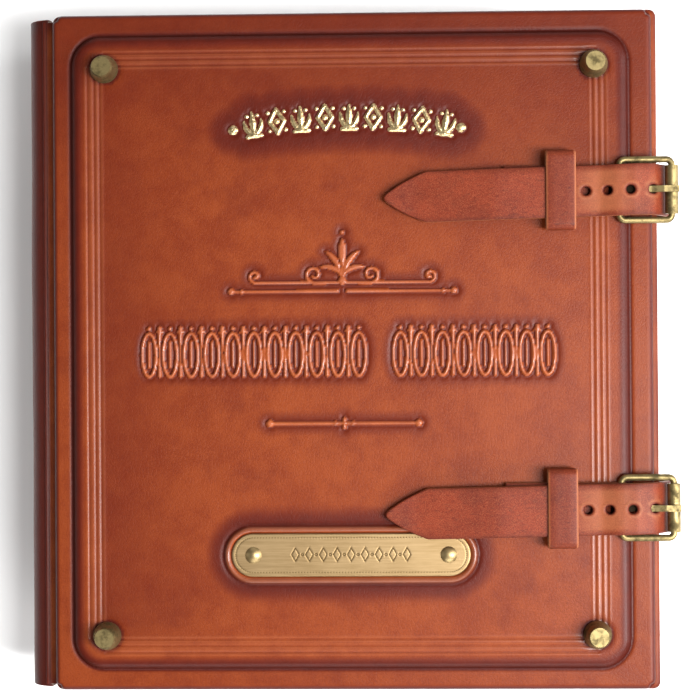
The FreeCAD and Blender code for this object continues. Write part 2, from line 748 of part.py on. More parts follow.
base_rivet_length = inner_floor_z + base_rise - back_field_z
keep(shaped("base_rivets", Part.makeCompound([
    Part.makeCylinder(size("rivet_head_radius"), 1.0, Vector(place.x, place.y, inner_floor_z + base_rise)).fuse([
        Part.makeCylinder(size("rivet_shank_radius"), base_rivet_length, Vector(place.x, place.y, back_field_z)),
        Part.makeCylinder(size("rivet_head_radius"), 1.0, Vector(place.x, place.y, back_field_z - 1.0))])
    for place in base_rivet_places])))


def half_ring(side, y):
    # half a ring of round wire; side is -1 for the spine's half and 1 for the other
    low = -math.asin((middle_z - ring_axis_z) / ring_radius)
    tip = math.pi / 2 - 0.004
    centre = Vector(ring_x, y, middle_z)

    def spot(angle):
        return centre + Vector(side * math.cos(angle), 0, math.sin(angle)) * ring_radius

    path = Part.Wire([Part.Arc(spot(low), spot((low + tip) / 2), spot(tip)).toShape()])
    way = Vector(-side * math.sin(low), 0, math.cos(low))
    section = Part.Wire([Part.Circle(spot(low), way, ring_wire).toShape()])
    return path.makePipeShell([section], True, True)


for side, name in ((-1, "left"), (1, "right")):
    keep(shaped("ring_halves_" + name, Part.makeCompound([half_ring(side, y) for y in ring_y])))
    hinge_plate = doc.addObject("Part::Box", "hinge_plate_" + name)
    bind(hinge_plate, Length="dims.hinge_plate_width - 0.15", Width="dims.hinge_plate_length",
         Height="dims.hinge_plate_depth")
    hinge_plate.Placement.Base = Vector(
        ring_x + (0.15 if side > 0 else -size("hinge_plate_width")), -size("hinge_plate_length") / 2,
        ring_axis_z - size("hinge_plate_depth") / 2)
    keep(hinge_plate)

half_lever = size("lever_width") / 2
for side, name in ((1, "head"), (-1, "tail")):
    inner = lever_pin_y - 4.0
    outline = [
        (inner, lever_pin_z - 1.5), (lever_pin_y + 5.0, lever_pin_z - 0.6), (lever_pin_y + 9.0, lever_pin_z + 5.2),
        (lever_pin_y + 7.2, lever_pin_z + 5.9), (lever_pin_y + 3.6, lever_pin_z + 1.5), (inner, lever_pin_z + 1.5)]
    corners = [Vector(ring_x - half_lever, side * y, z) for y, z in outline]
    blank = Part.Face(Part.makePolygon(corners + corners[:1])).extrude(Vector(2 * half_lever, 0, 0))
    bore = rod(Vector(ring_x - THROUGH / 2, side * lever_pin_y, lever_pin_z), Vector(1, 0, 0),
               pin_radius + pin_gap, THROUGH)
    keep(shaped("ring_lever_" + name, blank.cut(bore)))
pin_half = base_half - 0.3
keep(shaped("lever_pins", Part.makeCompound([
    rod(Vector(ring_x - pin_half, side * lever_pin_y, lever_pin_z), Vector(1, 0, 0), pin_radius, 2 * pin_half)
    for side in (-1, 1)])))


# ---- leaves -----------------------------------------------------------------------

def leaf(label, height):
    # a sheet that leaves the rings squarely and then lies flat at its own height
    inner = ring_radius - size("leaf_margin")
    reach = ring_radius + size("leaf_bend_beyond")
    angle = math.asin(height / reach)
    radial = Vector(math.cos(angle), 0, math.sin(angle))
    flat_length = size("leaf_width") - (reach - inner)
    line = [
        (ring_x + inner * radial.x, middle_z + inner * radial.z),
        (ring_x + reach * radial.x, middle_z + height),
        (ring_x + reach * radial.x + flat_length, middle_z + height)]
    blank = strip(label + "_blank", line, [5.0], size("leaf_thickness"), "dims.leaf_height")
    across = Vector(-radial.z, 0, radial.x)
    centre = Vector(ring_x, 0, middle_z) + radial * ring_radius
    punches = [
        rod(centre + Vector(0, y, 0) - across * 3, across, size("leaf_hole_radius"), 6) for y in ring_y]
    return cut(label, blank, [shaped(label + "_punch", Part.makeCompound(punches))])


leaf_total = 2 * LEAF_PAIRS
leaf_pitch = (2 * ring_radius - size("leaf_stack_spare")) / (leaf_total - 1)
for index in range(leaf_total):
    kind = "pocket_sheet" if index % 2 else "interleaf"
    height = (index - (leaf_total - 1) / 2) * leaf_pitch
    keep(leaf("%s_%d" % (kind, index // 2 + 1), height))

# ---- checks and files -----------------------------------------------------------------

doc.recompute()
for item in doc.Objects:
    if "Invalid" in item.State or "Error" in item.State:
        raise RuntimeError("failed feature: " + item.Label)
os.makedirs("parts", exist_ok=True)
for node in nodes:
    if node.Shape.isNull() or not node.Shape.isValid() or not node.Shape.Solids:
        raise RuntimeError("bad shape: " + node.Label)
for node in nodes:
    node.Shape.exportStep("parts/%s.step" % node.Label)
whole = Part.makeCompound([node.Shape for node in nodes]).BoundBox
print("%d pieces, %.1f x %.1f x %.1f mm" % (len(nodes), whole.XLength, whole.YLength, whole.ZLength))
print("x %.2f..%.2f  y %.2f..%.2f  z %.2f..%.2f" % (
    whole.XMin, whole.XMax, whole.YMin, whole.YMax, whole.ZMin, whole.ZMax))
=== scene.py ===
import json
import math

import bmesh
import bpy
import numpy as np
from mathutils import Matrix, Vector


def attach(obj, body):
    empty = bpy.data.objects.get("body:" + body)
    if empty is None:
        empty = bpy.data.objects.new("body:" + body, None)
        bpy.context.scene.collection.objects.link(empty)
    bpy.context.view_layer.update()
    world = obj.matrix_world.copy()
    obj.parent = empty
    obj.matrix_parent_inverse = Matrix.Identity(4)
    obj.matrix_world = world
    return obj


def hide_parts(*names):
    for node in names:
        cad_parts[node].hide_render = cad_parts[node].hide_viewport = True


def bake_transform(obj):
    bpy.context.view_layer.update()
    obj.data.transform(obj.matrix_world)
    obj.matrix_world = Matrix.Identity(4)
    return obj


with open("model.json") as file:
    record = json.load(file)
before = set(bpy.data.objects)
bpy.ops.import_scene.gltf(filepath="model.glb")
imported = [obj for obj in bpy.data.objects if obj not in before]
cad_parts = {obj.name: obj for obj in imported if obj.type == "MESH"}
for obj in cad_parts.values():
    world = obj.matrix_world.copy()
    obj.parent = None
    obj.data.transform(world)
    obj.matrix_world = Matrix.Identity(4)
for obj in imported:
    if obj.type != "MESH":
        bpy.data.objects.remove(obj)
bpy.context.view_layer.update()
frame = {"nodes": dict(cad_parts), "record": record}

mm = 0.001
nodes = frame["nodes"]

# heights and edges that several pieces share, in mm
album = {
    "middle": 36.7,
    "fieldTop": 65.7, "panelTop": 62.7, "panelFoot": 59.3, "caseFoot": 55.3,
    "fieldX": 0.65, "fieldHalf": (110.2, 125.65), "fieldCorner": 12.0,
    "panelX": (-117.6, 120.7), "panelHalf": 134.6, "panelCorner": 4.0,
    "caseX": (-118.0, 123.0), "caseHalf": 135.0,
    "studX": 96.7, "studY": 112.2, "studRadius": 5.5,
    "strapY": 62.2,
}


class Wire:
    # one socket of a finish; arithmetic on it adds the nodes
    def __init__(self, finish, socket):
        self.finish = finish
        self.socket = socket

    def math(self, operation, *values, clamp=False):
        return self.finish.get("ShaderNodeMath", 0, {"operation": operation, "use_clamp": clamp},
                               dict(enumerate((self, *values))))

    def __add__(self, other):
        return self.math("ADD", other)

    __radd__ = __add__

    def __mul__(self, other):
        return self.math("MULTIPLY", other)

    __rmul__ = __mul__

    def __sub__(self, other):
        return self.math("SUBTRACT", other)

    def __rsub__(self, other):
        return (self * -1.0) + other

    def clamped(self):
        return self.math("ADD", 0.0, clamp=True)

    def between(self, low, high):
        # 0 at low, 1 at high and smooth between them; low may be the larger one
        rising = self.finish.get("ShaderNodeMapRange", "Result", {"interpolation_type": "SMOOTHSTEP"},
                                 {"Value": self, "From Min": min(low, high), "From Max": max(low, high)})
        return rising if low < high else 1 - rising


class Finish:
    # a material being made: add nodes, then shade() them
    def __init__(self, name):
        self.material = bpy.data.materials.new(name)
        self.material.use_nodes = True
        self.tree = self.material.node_tree
        self.tree.nodes.clear()
        self.output = self.tree.nodes.new("ShaderNodeOutputMaterial")
        self.where = self.get("ShaderNodeTexCoord", "Object")

    def node(self, kind, settings=None, sockets=None):
        # any node: its settings first, then a number, colour or Wire for each socket
        made = self.tree.nodes.new(kind)
        for key, value in (settings or {}).items():
            setattr(made, key, value)
        for key, value in (sockets or {}).items():
            place = made.inputs[key]
            if isinstance(value, Wire):
                self.tree.links.new(value.socket, place)
            elif isinstance(value, (int, float)):
                place.default_value = value
            else:
                place.default_value = (*value, 1.0)[:len(place.default_value)]
        return made

    def get(self, kind, output, settings=None, sockets=None):
        return Wire(self, self.node(kind, settings, sockets).outputs[output])

    def noise(self, size, detail=3.0, rough=0.55, stretch=None):
        # size is how wide the patches are, in mm
        vector = self.where
        if stretch:
            vector = self.get("ShaderNodeVectorMath", "Vector", {"operation": "MULTIPLY"},
                              {0: vector, 1: stretch})
        return self.get("ShaderNodeTexNoise", "Fac", None,
                        {"Vector": vector, "Scale": 1 / (size * mm), "Detail": detail, "Roughness": rough})

    def cells(self, size, feature="F1"):
        return self.get("ShaderNodeTexVoronoi", "Distance", {"feature": feature},
                        {"Vector": self.where, "Scale": 1 / (size * mm)})

    def place(self, axis):
        return self.get("ShaderNodeSeparateXYZ", axis, None, {"Vector": self.where})

    def attribute(self, name):
        return self.get("ShaderNodeAttribute", "Fac", {"attribute_name": name})

    def mix(self, factor, first, second):
        # the colour sockets of a Mix node are its seventh and eighth
        return self.get("ShaderNodeMix", 2, {"data_type": "RGBA"}, {"Factor": factor, 6: first, 7: second})

    def bump(self, height, strength, distance, below=None):
        sockets = {"Height": height, "Strength": strength, "Distance": distance * mm}
        if below is not None:
            sockets["Normal"] = below
        return self.get("ShaderNodeBump", "Normal", None, sockets)

    def shade(self, sockets):
        made = self.node("ShaderNodeBsdfPrincipled", None, sockets)
        self.tree.links.new(made.outputs[0], self.output.inputs["Surface"])
        return self.material


leatherTones = {
    "light": (0.242, 0.0470, 0.0070), "mid": (0.162, 0.0250, 0.0032), "deep": (0.076, 0.0070, 0.0018),
    "burntAndShade": (0.032, 0.0026, 0.0010), "rub": (0.36, 0.110, 0.044),
    "foilDull": (0.50, 0.36, 0.17), "foilBright": (0.72, 0.57, 0.33),
}



def leatherFinish(name, tones=leatherTones, grain=1.0, gloss=0.40):
    # vegetable-tanned leather: cloudy dye, darkened by burnish and by painted shade, paled by rubbing and by
    # painted highlights, and gilt
    paint = Finish(name)
    cloudy = paint.noise(34.0, 4.0, 0.6)
    blotch = paint.noise(7.0, 3.0, 0.6)
    speck = paint.noise(0.7, 2.0, 0.7)
    dye = (cloudy * 0.5 + blotch * 0.34 + speck * 0.26).between(0.40, 0.67)
    colour = paint.mix(dye, tones["mid"], tones["light"])
    deepSpots = paint.noise(30.0, 5.0, 0.62).between(0.50, 0.74) * 0.50
    colour = paint.mix(deepSpots, colour, tones["deep"])
    pores = paint.cells(0.62).between(0.0, 0.22)
    colour = paint.mix((1 - pores) * 0.34, colour, tones["deep"])
    tick = paint.noise(0.42, 2.0, 0.8)
    colour = paint.mix(tick.between(0.50, 0.70) * 0.40, colour, tones["deep"])
    colour = paint.mix((1 - tick).between(0.50, 0.74) * 0.20, colour, tones["rub"])
    roughness = 0.07 * blotch + gloss + 0.10 * (1 - pores)
    folds = paint.cells(1.5, "DISTANCE_TO_EDGE").between(0.0, 0.16)
    normal = paint.bump(pores * 0.35 + folds * 0.35 + speck * 0.4, 0.55 * grain, 0.12)
    normal = paint.bump(paint.noise(9.0, 3.0, 0.5), 0.16 * grain, 0.5, normal)
    dark = paint.attribute("dark")
    colour = paint.mix((dark * 1.5).between(0.0, 1.0), colour, tones["deep"])
    # the darkest tone stands for burnish and for painted shade
    burntAndShade = (dark + (paint.noise(5.0, 4.0, 0.65) - 0.5) * 0.35).between(0.36, 1.06)
    colour = paint.mix(burntAndShade, colour, tones["burntAndShade"])
    rub = paint.attribute("rub")
    colour = paint.mix((rub * (0.45 + 0.6 * blotch)).clamped(), colour, tones["rub"])
    gilt = paint.attribute("gilt").between(0.25, 0.60)
    foil = paint.mix(speck.between(0.35, 0.70), tones["foilDull"], tones["foilBright"])
    colour = paint.mix(gilt, colour, foil)
    roughness = roughness * (1 - gilt) + gilt * (0.24 + 0.12 * speck)
    return paint.shade({"Base Color": colour, "Roughness": roughness.clamped(), "Normal": normal,
                        "Metallic": gilt, "Coat Weight": 0.03 + (rub * 1.1).clamped(), "Coat Roughness": 0.22,
                        "Specular IOR Level": 0.14})


strapTones = {
    "light": (0.167, 0.0250, 0.0080), "mid": (0.108, 0.0132, 0.0045), "deep": (0.046, 0.0050, 0.0028),
    "burntAndShade": (0.016, 0.0026, 0.0022), "raw": (0.36, 0.135, 0.058),
}


def strapFinish(name, tones=strapTones):
    # bridle leather: finer, redder, with pale raw edges and a pale painted sheen before the buckle, and dark
    # edges with painted shade in and round the holes
    paint = Finish(name)
    nap = paint.noise(0.55, 3.0, 0.75)
    soft = paint.noise(11.0, 4.0, 0.6)
    fibre = paint.noise(1.3, 4.0, 0.7, (0.45, 1.0, 1.0))
    colour = paint.mix((soft * 0.6 + nap * 0.8).between(0.45, 0.92), tones["mid"], tones["light"])
    colour = paint.mix(fibre.between(0.50, 0.74) * 0.55, colour, tones["deep"])
    stain = paint.noise(16.0, 4.0, 0.6).between(0.46, 0.72)
    colour = paint.mix(stain * 0.45, colour, tones["deep"])
    speck = paint.noise(0.36, 2.0, 0.8)
    colour = paint.mix(speck.between(0.50, 0.68) * 0.42, colour, tones["deep"])
    colour = paint.mix((1 - speck).between(0.50, 0.68) * 0.24, colour, tones["raw"])
    raw = paint.attribute("raw") * (0.55 + 0.6 * nap)
    colour = paint.mix(raw.clamped(), colour, tones["raw"])
    dark = paint.attribute("dark") * (0.45 + 1.0 * soft)
    colour = paint.mix(dark.clamped(), colour, tones["burntAndShade"])
    pores = paint.cells(0.5).between(0.0, 0.25)
    normal = paint.bump(nap * 0.8 + pores * 0.3 + fibre * 0.5, 0.60, 0.11)
    normal = paint.bump(soft, 0.12, 0.5, normal)
    roughness = (0.5 + 0.16 * (nap - 0.5) + 0.10 * (soft - 0.5)).clamped()
    return paint.shade({"Base Color": colour, "Roughness": roughness, "Normal": normal, "Coat Weight": 0.02,
                        "Coat Roughness": 0.35, "Specular IOR Level": 0.13})


def metalFinish(name, bright, dull, roughness, patina, scratch, paintedShadeBelow=None):
    # metal with patina in patches and fine handling scratches, and black painted shade where x is below the
    # given limit
    paint = Finish(name)
    stain = paint.noise(4.5, 5.0, 0.65).between(0.42, 0.68) * patina
    fine = paint.noise(0.9, 4.0, 0.7)
    lines = paint.noise(0.8, 3.0, 0.7, (0.12, 1.0, 1.0))
    colour = paint.mix(stain, bright, dull)
    colour = paint.mix(fine.between(0.55, 0.85) * 0.35, colour, dull)
    if paintedShadeBelow is not None:
        shown = paint.place("X").between((paintedShadeBelow - 1) * mm, (paintedShadeBelow + 1) * mm)
        colour = paint.mix(1 - shown, colour, (0.012, 0.008, 0.005))
    normal = paint.bump(fine * 0.5 + lines * 0.6, 0.48 * scratch, 0.06)
    rough = (roughness + 0.25 * stain + 0.14 * (lines - 0.5)).clamped()
    return paint.shade({"Base Color": colour, "Roughness": rough, "Normal": normal, "Metallic": 1.0})


def clothFinish(name, thread, shadow, pitch=0.55):
    # plain-weave book cloth; pitch is the distance between threads, in mm
    paint = Finish(name)
    weave = [paint.get("ShaderNodeTexWave", "Fac", {"bands_direction": direction, "wave_profile": "SIN"},
                       {"Vector": paint.where, "Scale": 314.0 / pitch, "Distortion": 0.6, "Detail": 1.0})
             for direction in ("X", "Y")]
    threads = weave[0].math("MAXIMUM", weave[1])
    slub = paint.noise(2.6, 3.0, 0.6, (0.3, 1.0, 1.0))
    colour = paint.mix(threads.between(0.35, 0.95), shadow, thread)
    colour = paint.mix(slub.between(0.5, 0.8) * 0.4, colour, shadow)
    return paint.shade({"Base Color": colour, "Roughness": 0.80 + 0.10 * slub,
                        "Normal": paint.bump(threads, 0.45, 0.12), "Sheen Weight": 0.2})


def cardFinish(name, colour, fleck, size):
    # pressed card or board with short fibres
    paint = Finish(name)
    fibre = paint.noise(size, 4.0, 0.75)
    patch = paint.noise(18.0, 3.0, 0.5)
    shade = paint.mix((fibre * 0.8 + patch * 0.3).between(0.45, 0.80), colour, fleck)
    return paint.shade({"Base Color": shade, "Roughness": 0.62 + 0.2 * fibre,
                        "Normal": paint.bump(fibre, 0.25, 0.08)})


# welds between the pockets of a sheet: three rows of two, and the punched margin
welds = {"halfRow": 41.0, "lines": (-88.0, 14.0), "half": (0.7, 0.3)}


def vinylFinish(name):
    # clear film, faintly hazed, seen as a light sheen on what lies under it
    paint = Finish(name)
    haze = paint.noise(14.0, 3.0, 0.5)
    outer, inner = (half * mm for half in welds["half"])
    row = welds["halfRow"] * mm
    weld = (row - paint.place("Y").math("PINGPONG", row)).between(outer, inner)
    for line in welds["lines"]:
        away = (paint.place("X") - line * mm).math("ABSOLUTE")
        weld = weld.math("MAXIMUM", away.between(outer, inner))
    ripple = paint.bump(haze, 0.25, 0.6)
    fine = paint.bump(weld + 0.1 * paint.noise(0.8, 2.0, 0.5), 0.5, 0.10, ripple)
    return paint.shade({"Base Color": paint.mix(haze, (0.80, 0.83, 0.85), (0.92, 0.94, 0.95)),
                        "Roughness": 0.12 + 0.14 * haze, "Normal": fine,
                        "Alpha": (0.16 + 0.10 * haze + weld * 0.42).clamped(),
                        "Specular IOR Level": 0.7, "IOR": 1.5})


oldBrass = ((0.235, 0.180, 0.080), (0.066, 0.050, 0.022), 0.46, 0.90, 0.4)
finishes = {
    "cover_leather": leatherFinish("coverLeather"),
    "case_leather": leatherFinish("caseLeather", grain=1.2, gloss=0.44),
    "strap_leather": strapFinish("strapLeather"),
    "board": cardFinish("greyBoard", (0.30, 0.26, 0.20), (0.42, 0.37, 0.29), 1.2),
    "lining": clothFinish("liningCloth", (0.075, 0.030, 0.018), (0.028, 0.012, 0.008)),
    "black_card": cardFinish("blackCard", (0.014, 0.014, 0.016), (0.045, 0.044, 0.046), 0.7),
    "clear_vinyl": vinylFinish("clearFilm"),
    "plate_brass": metalFinish("plateBrass", (0.33, 0.24, 0.115), (0.21, 0.15, 0.066), 0.42, 0.35, 0.5),
    "antique_brass": metalFinish("antiqueBrass", *oldBrass),
    "ring_steel": metalFinish("ringSteel", (0.66, 0.66, 0.64), (0.40, 0.39, 0.37), 0.20, 0.3, 0.3),
}
print("finishes made:", len(finishes))


def putMesh(name, points, faces, slotName, body=None, values=None, material=None):
    # points in mm; values holds one number per point for each named attribute
    mesh = bpy.data.meshes.new(name)
    mesh.from_pydata((np.asarray(points, float) * mm).tolist(), [], faces)
    mesh.validate()
    mesh.polygons.foreach_set("use_smooth", [True] * len(mesh.polygons))
    for key, numbers in (values or {}).items():
        layer = mesh.attributes.new(key, "FLOAT", "POINT")
        layer.data.foreach_set("value", np.asarray(numbers, np.float32))
    piece = bpy.data.objects.new(name, mesh)
    bpy.context.scene.collection.objects.link(piece)
    mesh.materials.append(material or finishes[slotName])
    if body:
        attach(piece, body)
    return piece


def gridFaces(rows, columns, start=0, wrapRows=False, wrapColumns=False, turned=False):
    row = np.arange(rows if wrapRows else rows - 1)
    column = np.arange(columns if wrapColumns else columns - 1)
    r, c = np.meshgrid(row, column, indexing="ij")
    rNext, cNext = (r + 1) % rows, (c + 1) % columns
    quads = np.stack([r * columns + c, r * columns + cNext, rNext * columns + cNext, rNext * columns + c], -1)
    quads = quads.reshape(-1, 4) + start
    if turned:
        quads = quads[:, ::-1]
    return quads.tolist()


def gridBorder(rows, columns):
    # the numbers of a grid's outer points, in order round it
    return np.concatenate([np.arange(columns), np.arange(1, rows) * columns + columns - 1,
                           (rows - 1) * columns + np.arange(columns - 2, -1, -1),
                           np.arange(rows - 2, 0, -1) * columns])


def bridge(first, second):
    # faces between two closed loops of points
    loops = zip(first, second, np.roll(second, -1), np.roll(first, -1))
    return [[int(number) for number in face] for face in loops]


def boxDistance(x, y, half, corner):
    # signed distance to a rounded rectangle, negative inside
    qx, qy = np.abs(x) - half[0] + corner, np.abs(y) - half[1] + corner
    outside = np.hypot(np.maximum(qx, 0), np.maximum(qy, 0))
    return outside + np.minimum(np.maximum(qx, qy), 0) - corner


def smooth(value, low, high):
    t = np.clip((value - low) / (high - low), 0, 1)
    return t * t * (3 - 2 * t)


def fade(distance, width):
    # 1 at no distance and almost 0 at twice the width
    return np.exp(-(distance / width) ** 2)


def glow(distance, amount, width):
    # the same beyond an edge, and the whole amount on the near side of it
    return amount * fade(np.maximum(distance, 0), width)


def quarterRound(share):
    return np.sqrt(1 - (1 - share) ** 2)


def spacedLines(low, high, fine, coarse, bands):
    # grid lines, close together inside the bands and far apart outside them
    lines = [low]
    while lines[-1] < high:
        here = lines[-1]
        inside = any(a <= here < b for a, b in bands)
        lines.append(here + (fine if inside else coarse))
    lines = np.array(lines)
    return low + (lines - low) * (high - low) / (lines[-1] - low)


def turnedPath(points, radii, step=0.8):
    # points along straight runs joined by arcs, and how far along each one is
    places = [np.array(p, float) for p in points]
    spots = [places[0]]
    for before, corner, after, radius in zip(places, places[1:], places[2:], radii):
        first, second = corner - before, after - corner
        first, second = first / np.linalg.norm(first), second / np.linalg.norm(second)
        turn = math.atan2(first[0] * second[1] - first[1] * second[0], first @ second)
        if abs(turn) < 1e-6:
            continue
        reach = radius * math.tan(abs(turn) / 2)
        side = np.array([-first[1], first[0]]) * math.copysign(1, turn)
        centre = corner - first * reach + side * radius
        count = max(3, int(abs(turn) * radius / (step * 0.5)))
        for share in np.linspace(0, 1, count + 1):
            angle = turn * share
            arm = -side * radius
            spots.append(centre + np.array([arm[0] * math.cos(angle) - arm[1] * math.sin(angle),
                                            arm[0] * math.sin(angle) + arm[1] * math.cos(angle)]))
    spots.append(places[-1])
    spots = np.array(spots)
    length = np.concatenate([[0], np.cumsum(np.hypot(*np.diff(spots, axis=0).T))])
    keep = np.concatenate([[True], np.diff(length) > 1e-6])
    return spots[keep], length[keep]


def alongPath(path, distance):
    # place and normal (left of the way along) at each distance from the path's start
    spots, length = path
    reach = 0.35

    def at(shift):
        return np.stack([np.interp(distance + shift, length, spots[:, axis]) for axis in (0, 1)], -1)

    way = at(reach) - at(-reach)
    way /= np.maximum(np.linalg.norm(way, axis=1, keepdims=True), 1e-9)
    return at(0), np.stack([-way[:, 1], way[:, 0]], -1)


farAway = 99.0


class Relief:
    # ornament over a grid of points, kept as the distance to its nearest stroke
    def __init__(self, xs, ys):
        self.xs, self.ys = xs, ys
        self.x, self.y = np.meshgrid(xs, ys)
        self.plain = np.full(self.x.shape, farAway)
        self.gilded = np.full(self.x.shape, farAway)

    def window(self, low, high, margin=24.0):
        column = slice(*np.searchsorted(self.xs, [low[0] - margin, high[0] + margin]))
        row = slice(*np.searchsorted(self.ys, [low[1] - margin, high[1] + margin]))
        return row, column

    def stroke(self, points, radii, gilded=False):
        # a line of changing width; radii has one number, or several spread evenly along it
        points = np.asarray(points, float)
        radii = np.atleast_1d(np.asarray(radii, float))
        radii = np.interp(np.linspace(0, 1, len(points)), np.linspace(0, 1, len(radii)), radii)
        area = self.window(points.min(0), points.max(0))
        x, y = self.x[area], self.y[area]
        near = np.full(x.shape, farAway)
        for a, b, ra, rb in zip(points, points[1:], radii, radii[1:]):
            way = b - a
            t = np.clip(((x - a[0]) * way[0] + (y - a[1]) * way[1]) / max(way @ way, 1e-9), 0, 1)
            away = np.hypot(x - a[0] - t * way[0], y - a[1] - t * way[1])
            near = np.minimum(near, away - ra - t * (rb - ra))
        target = self.gilded if gilded else self.plain
        target[area] = np.minimum(target[area], near)

    def bead(self, centre, radius, gilded=False):
        self.stroke([centre, (centre[0] + 1e-3, centre[1])], radius, gilded)


def bow(start, control, end, count=14):
    # points along a quadratic curve
    t = np.linspace(0, 1, count)[:, None]
    start, control, end = (np.array(p, float) for p in (start, control, end))
    return (1 - t) ** 2 * start + 2 * t * (1 - t) * control + t ** 2 * end


def scroll(centre, radius, start, turns, tighten=0.72, count=30):
    # points along a spiral that closes in on its centre
    t = np.linspace(0, 1, count)
    angle = start + turns * 2 * math.pi * t
    r = radius * (1 - tighten * t)
    return np.stack([centre[0] + r * np.cos(angle), centre[1] + r * np.sin(angle)], -1)


def placed(points, place, turn=0.0, mirror=1):
    points = np.asarray(points, float) * (mirror, 1)
    c, s = math.cos(turn), math.sin(turn)
    return np.stack([place[0] + points[:, 0] * c - points[:, 1] * s,
                     place[1] + points[:, 0] * s + points[:, 1] * c], -1)


# gilt arc of leaves and lozenges over the middle of the cover
giltArc = {"centreX": 1.0, "top": 92.4, "radius": 275.0, "motifs": 9, "pitch": 9.55,
           "dots": ((-45.0, 87.5), (45.1, 87.7)), "dotRadius": 1.75}


def carveGiltArc(relief):
    middle = (giltArc["motifs"] - 1) / 2
    for index in range(giltArc["motifs"]):
        turn = -(index - middle) * giltArc["pitch"] / giltArc["radius"]
        place = (giltArc["centreX"] - math.sin(turn) * giltArc["radius"],
                 giltArc["top"] - giltArc["radius"] * (1 - math.cos(turn)))

        def draw(points, radii, mirrored=False):
            for mirror in ((1, -1) if mirrored else (1,)):
                relief.stroke(placed(points, place, turn, mirror), radii, True)

        if index % 2 == 0:  # an upright leaf between two side leaves, on a foot
            draw([(-2.9, -4.7), (2.9, -4.7)], 0.62)
            draw([(0, -4.2), (0, 0.4), (0, 4.8)], [0.55, 1.45, 1.15, 0.3])
            draw(bow((0.5, -3.9), (3.3, -2.6), (3.5, 1.7)), [0.5, 0.85, 0.8, 0.25], True)
            draw([(2.0, 3.4), (2.02, 3.4)], 0.62, True)
        else:  # a lozenge with a bead in it
            draw([(0, 4.7), (2.9, 0), (0, -4.7), (-2.9, 0), (0, 4.7)], 0.66)
            draw([(0, 0), (0.01, 0)], 1.0)
            draw([(3.2, 3.6), (3.22, 3.6)], 0.62, True)
            draw([(3.2, -3.6), (3.22, -3.6)], 0.62, True)
    for dot in giltArc["dots"]:
        relief.bead(dot, giltArc["dotRadius"], True)


# fan of five lobes over two long bars with scrolled ends
fan = {"x": -2.1, "foot": 28.6, "lobes": ((0, 15.6, 1.55), (31, 12.2, 1.25), (62, 9.6, 1.05)), "barY": 27.0,
       "barEnd": 34.5, "lowBarY": 23.6, "lowBarEnd": 44.0}


def carveFan(relief):
    foot = np.array((fan["x"], fan["foot"]))
    for degrees, length, width in fan["lobes"]:
        for mirror in (1, -1) if degrees else (1,):
            lean = math.radians(degrees)
            tip = (math.sin(lean) * length, math.cos(lean) * length)
            side = (math.sin(lean * 0.35) * length * 0.6, math.cos(lean * 0.35) * length * 0.62)
            relief.stroke(placed(bow((0.2, 0), side, tip), foot, 0, mirror), [0.35, 0.55, width, width, 0.45])
    relief.bead(foot + (0, 18.2), 0.85)
    relief.bead(foot + (0, -1.0), 1.7)
    for mirror in (1, -1):
        def draw(points, radii, place=foot):
            relief.stroke(placed(points, place, 0, mirror), radii)

        bar, lowBar = (fan["x"], fan["barY"]), (fan["x"], fan["lowBarY"])
        draw(scroll((11.2, 1.6), 3.4, -math.pi / 2, 1.15), [0.75, 0.7, 0.45])
        draw([(1.2, -1.6), (11.2, -1.8)], [0.6, 0.75])
        draw([(13.4, 0), (fan["barEnd"], 0)], [0.75, 0.55], bar)
        draw(scroll((fan["barEnd"], 2.6), 2.6, -math.pi / 2, 1.0, 0.8), [0.55, 0.65, 0.8], bar)
        draw([(2.0, 0), (30.0, 0), (fan["lowBarEnd"], 0)], [0.8, 0.5, 0.5], lowBar)
        for reach, radius in ((fan["lowBarEnd"], 1.35), (fan["lowBarEnd"] - 4.2, 0.95)):
            relief.bead((fan["x"] + mirror * reach, fan["lowBarY"]), radius)


# frieze of ovals and darts in two lengths, across the middle
frieze = {"y": -0.4, "half": 10.4, "pitch": 8.3, "groups": ((-78.8, 11), (20.6, 8)), "line": 0.72}


def carveFrieze(relief):
    half, line = frieze["half"], frieze["line"]
    for start, count in frieze["groups"]:
        for index in range(count):
            place = (start + frieze["pitch"] * index, frieze["y"])
            t = np.linspace(0, 2 * math.pi, 29)
            oval = np.stack([2.75 * np.cos(t), (half - 1.9) * np.sin(t) - 0.9], -1)
            relief.stroke(placed(oval, place), line)
            relief.stroke(placed([(0, half * 0.42), (0, -half * 0.55)], place), [0.45, 1.05, 0.45])
            relief.bead((place[0], place[1] + half - 0.9), 0.85)
            if index < count - 1:
                dart = (place[0] + frieze["pitch"] / 2, place[1])
                relief.stroke(placed([(0, half - 0.6), (0, 0), (0, 1.2 - half)], dart), [0.85, 0.4, 0.75])
                for mirror in (1, -1):
                    barb = [(0.1, half - 1.0), (1.35, half - 2.6)]
                    relief.stroke(placed(barb, dart, 0, mirror), [0.6, 0.3])


# thin rule with beads, under the frieze
rule = {"y": -28.6, "from": -31.0, "to": 27.8, "middle": -1.6}


def carveRule(relief):
    relief.stroke([(rule["from"], rule["y"]), (rule["to"], rule["y"])], 0.62)
    for x in (rule["from"], rule["to"]):
        relief.bead((x, rule["y"]), 1.45)
    relief.stroke([(rule["middle"], rule["y"] - 1.9), (rule["middle"], rule["y"] + 1.9)], [0.7, 1.7, 0.7])
    for side in (-1, 1):
        relief.bead((rule["middle"] + side * 3.4, rule["y"]), 1.0)


plate = {"x": 0.65, "y": -80.5, "half": (47.25, 8.6), "corner": 8.59, "lip": 2.5, "depth": 1.0}
creases = {"across": (-102.8, -100.2, -98.0, 96.7, 99.1, 101.4),
           "up": (118.4, 115.9, 113.5, -113.8, -116.4, -119.0), "radius": 0.34, "depth": 0.34, "ridge": 0.85}
cover = {"wall": 3.2, "foot": 0.7, "round": 2.3, "skirt": 0.02, "inset": 0.985, "lipRise": 1.25,
         "rows": (0.55, 0.9, 0.5, 1.5), "backRows": (0.6, 2.5)}
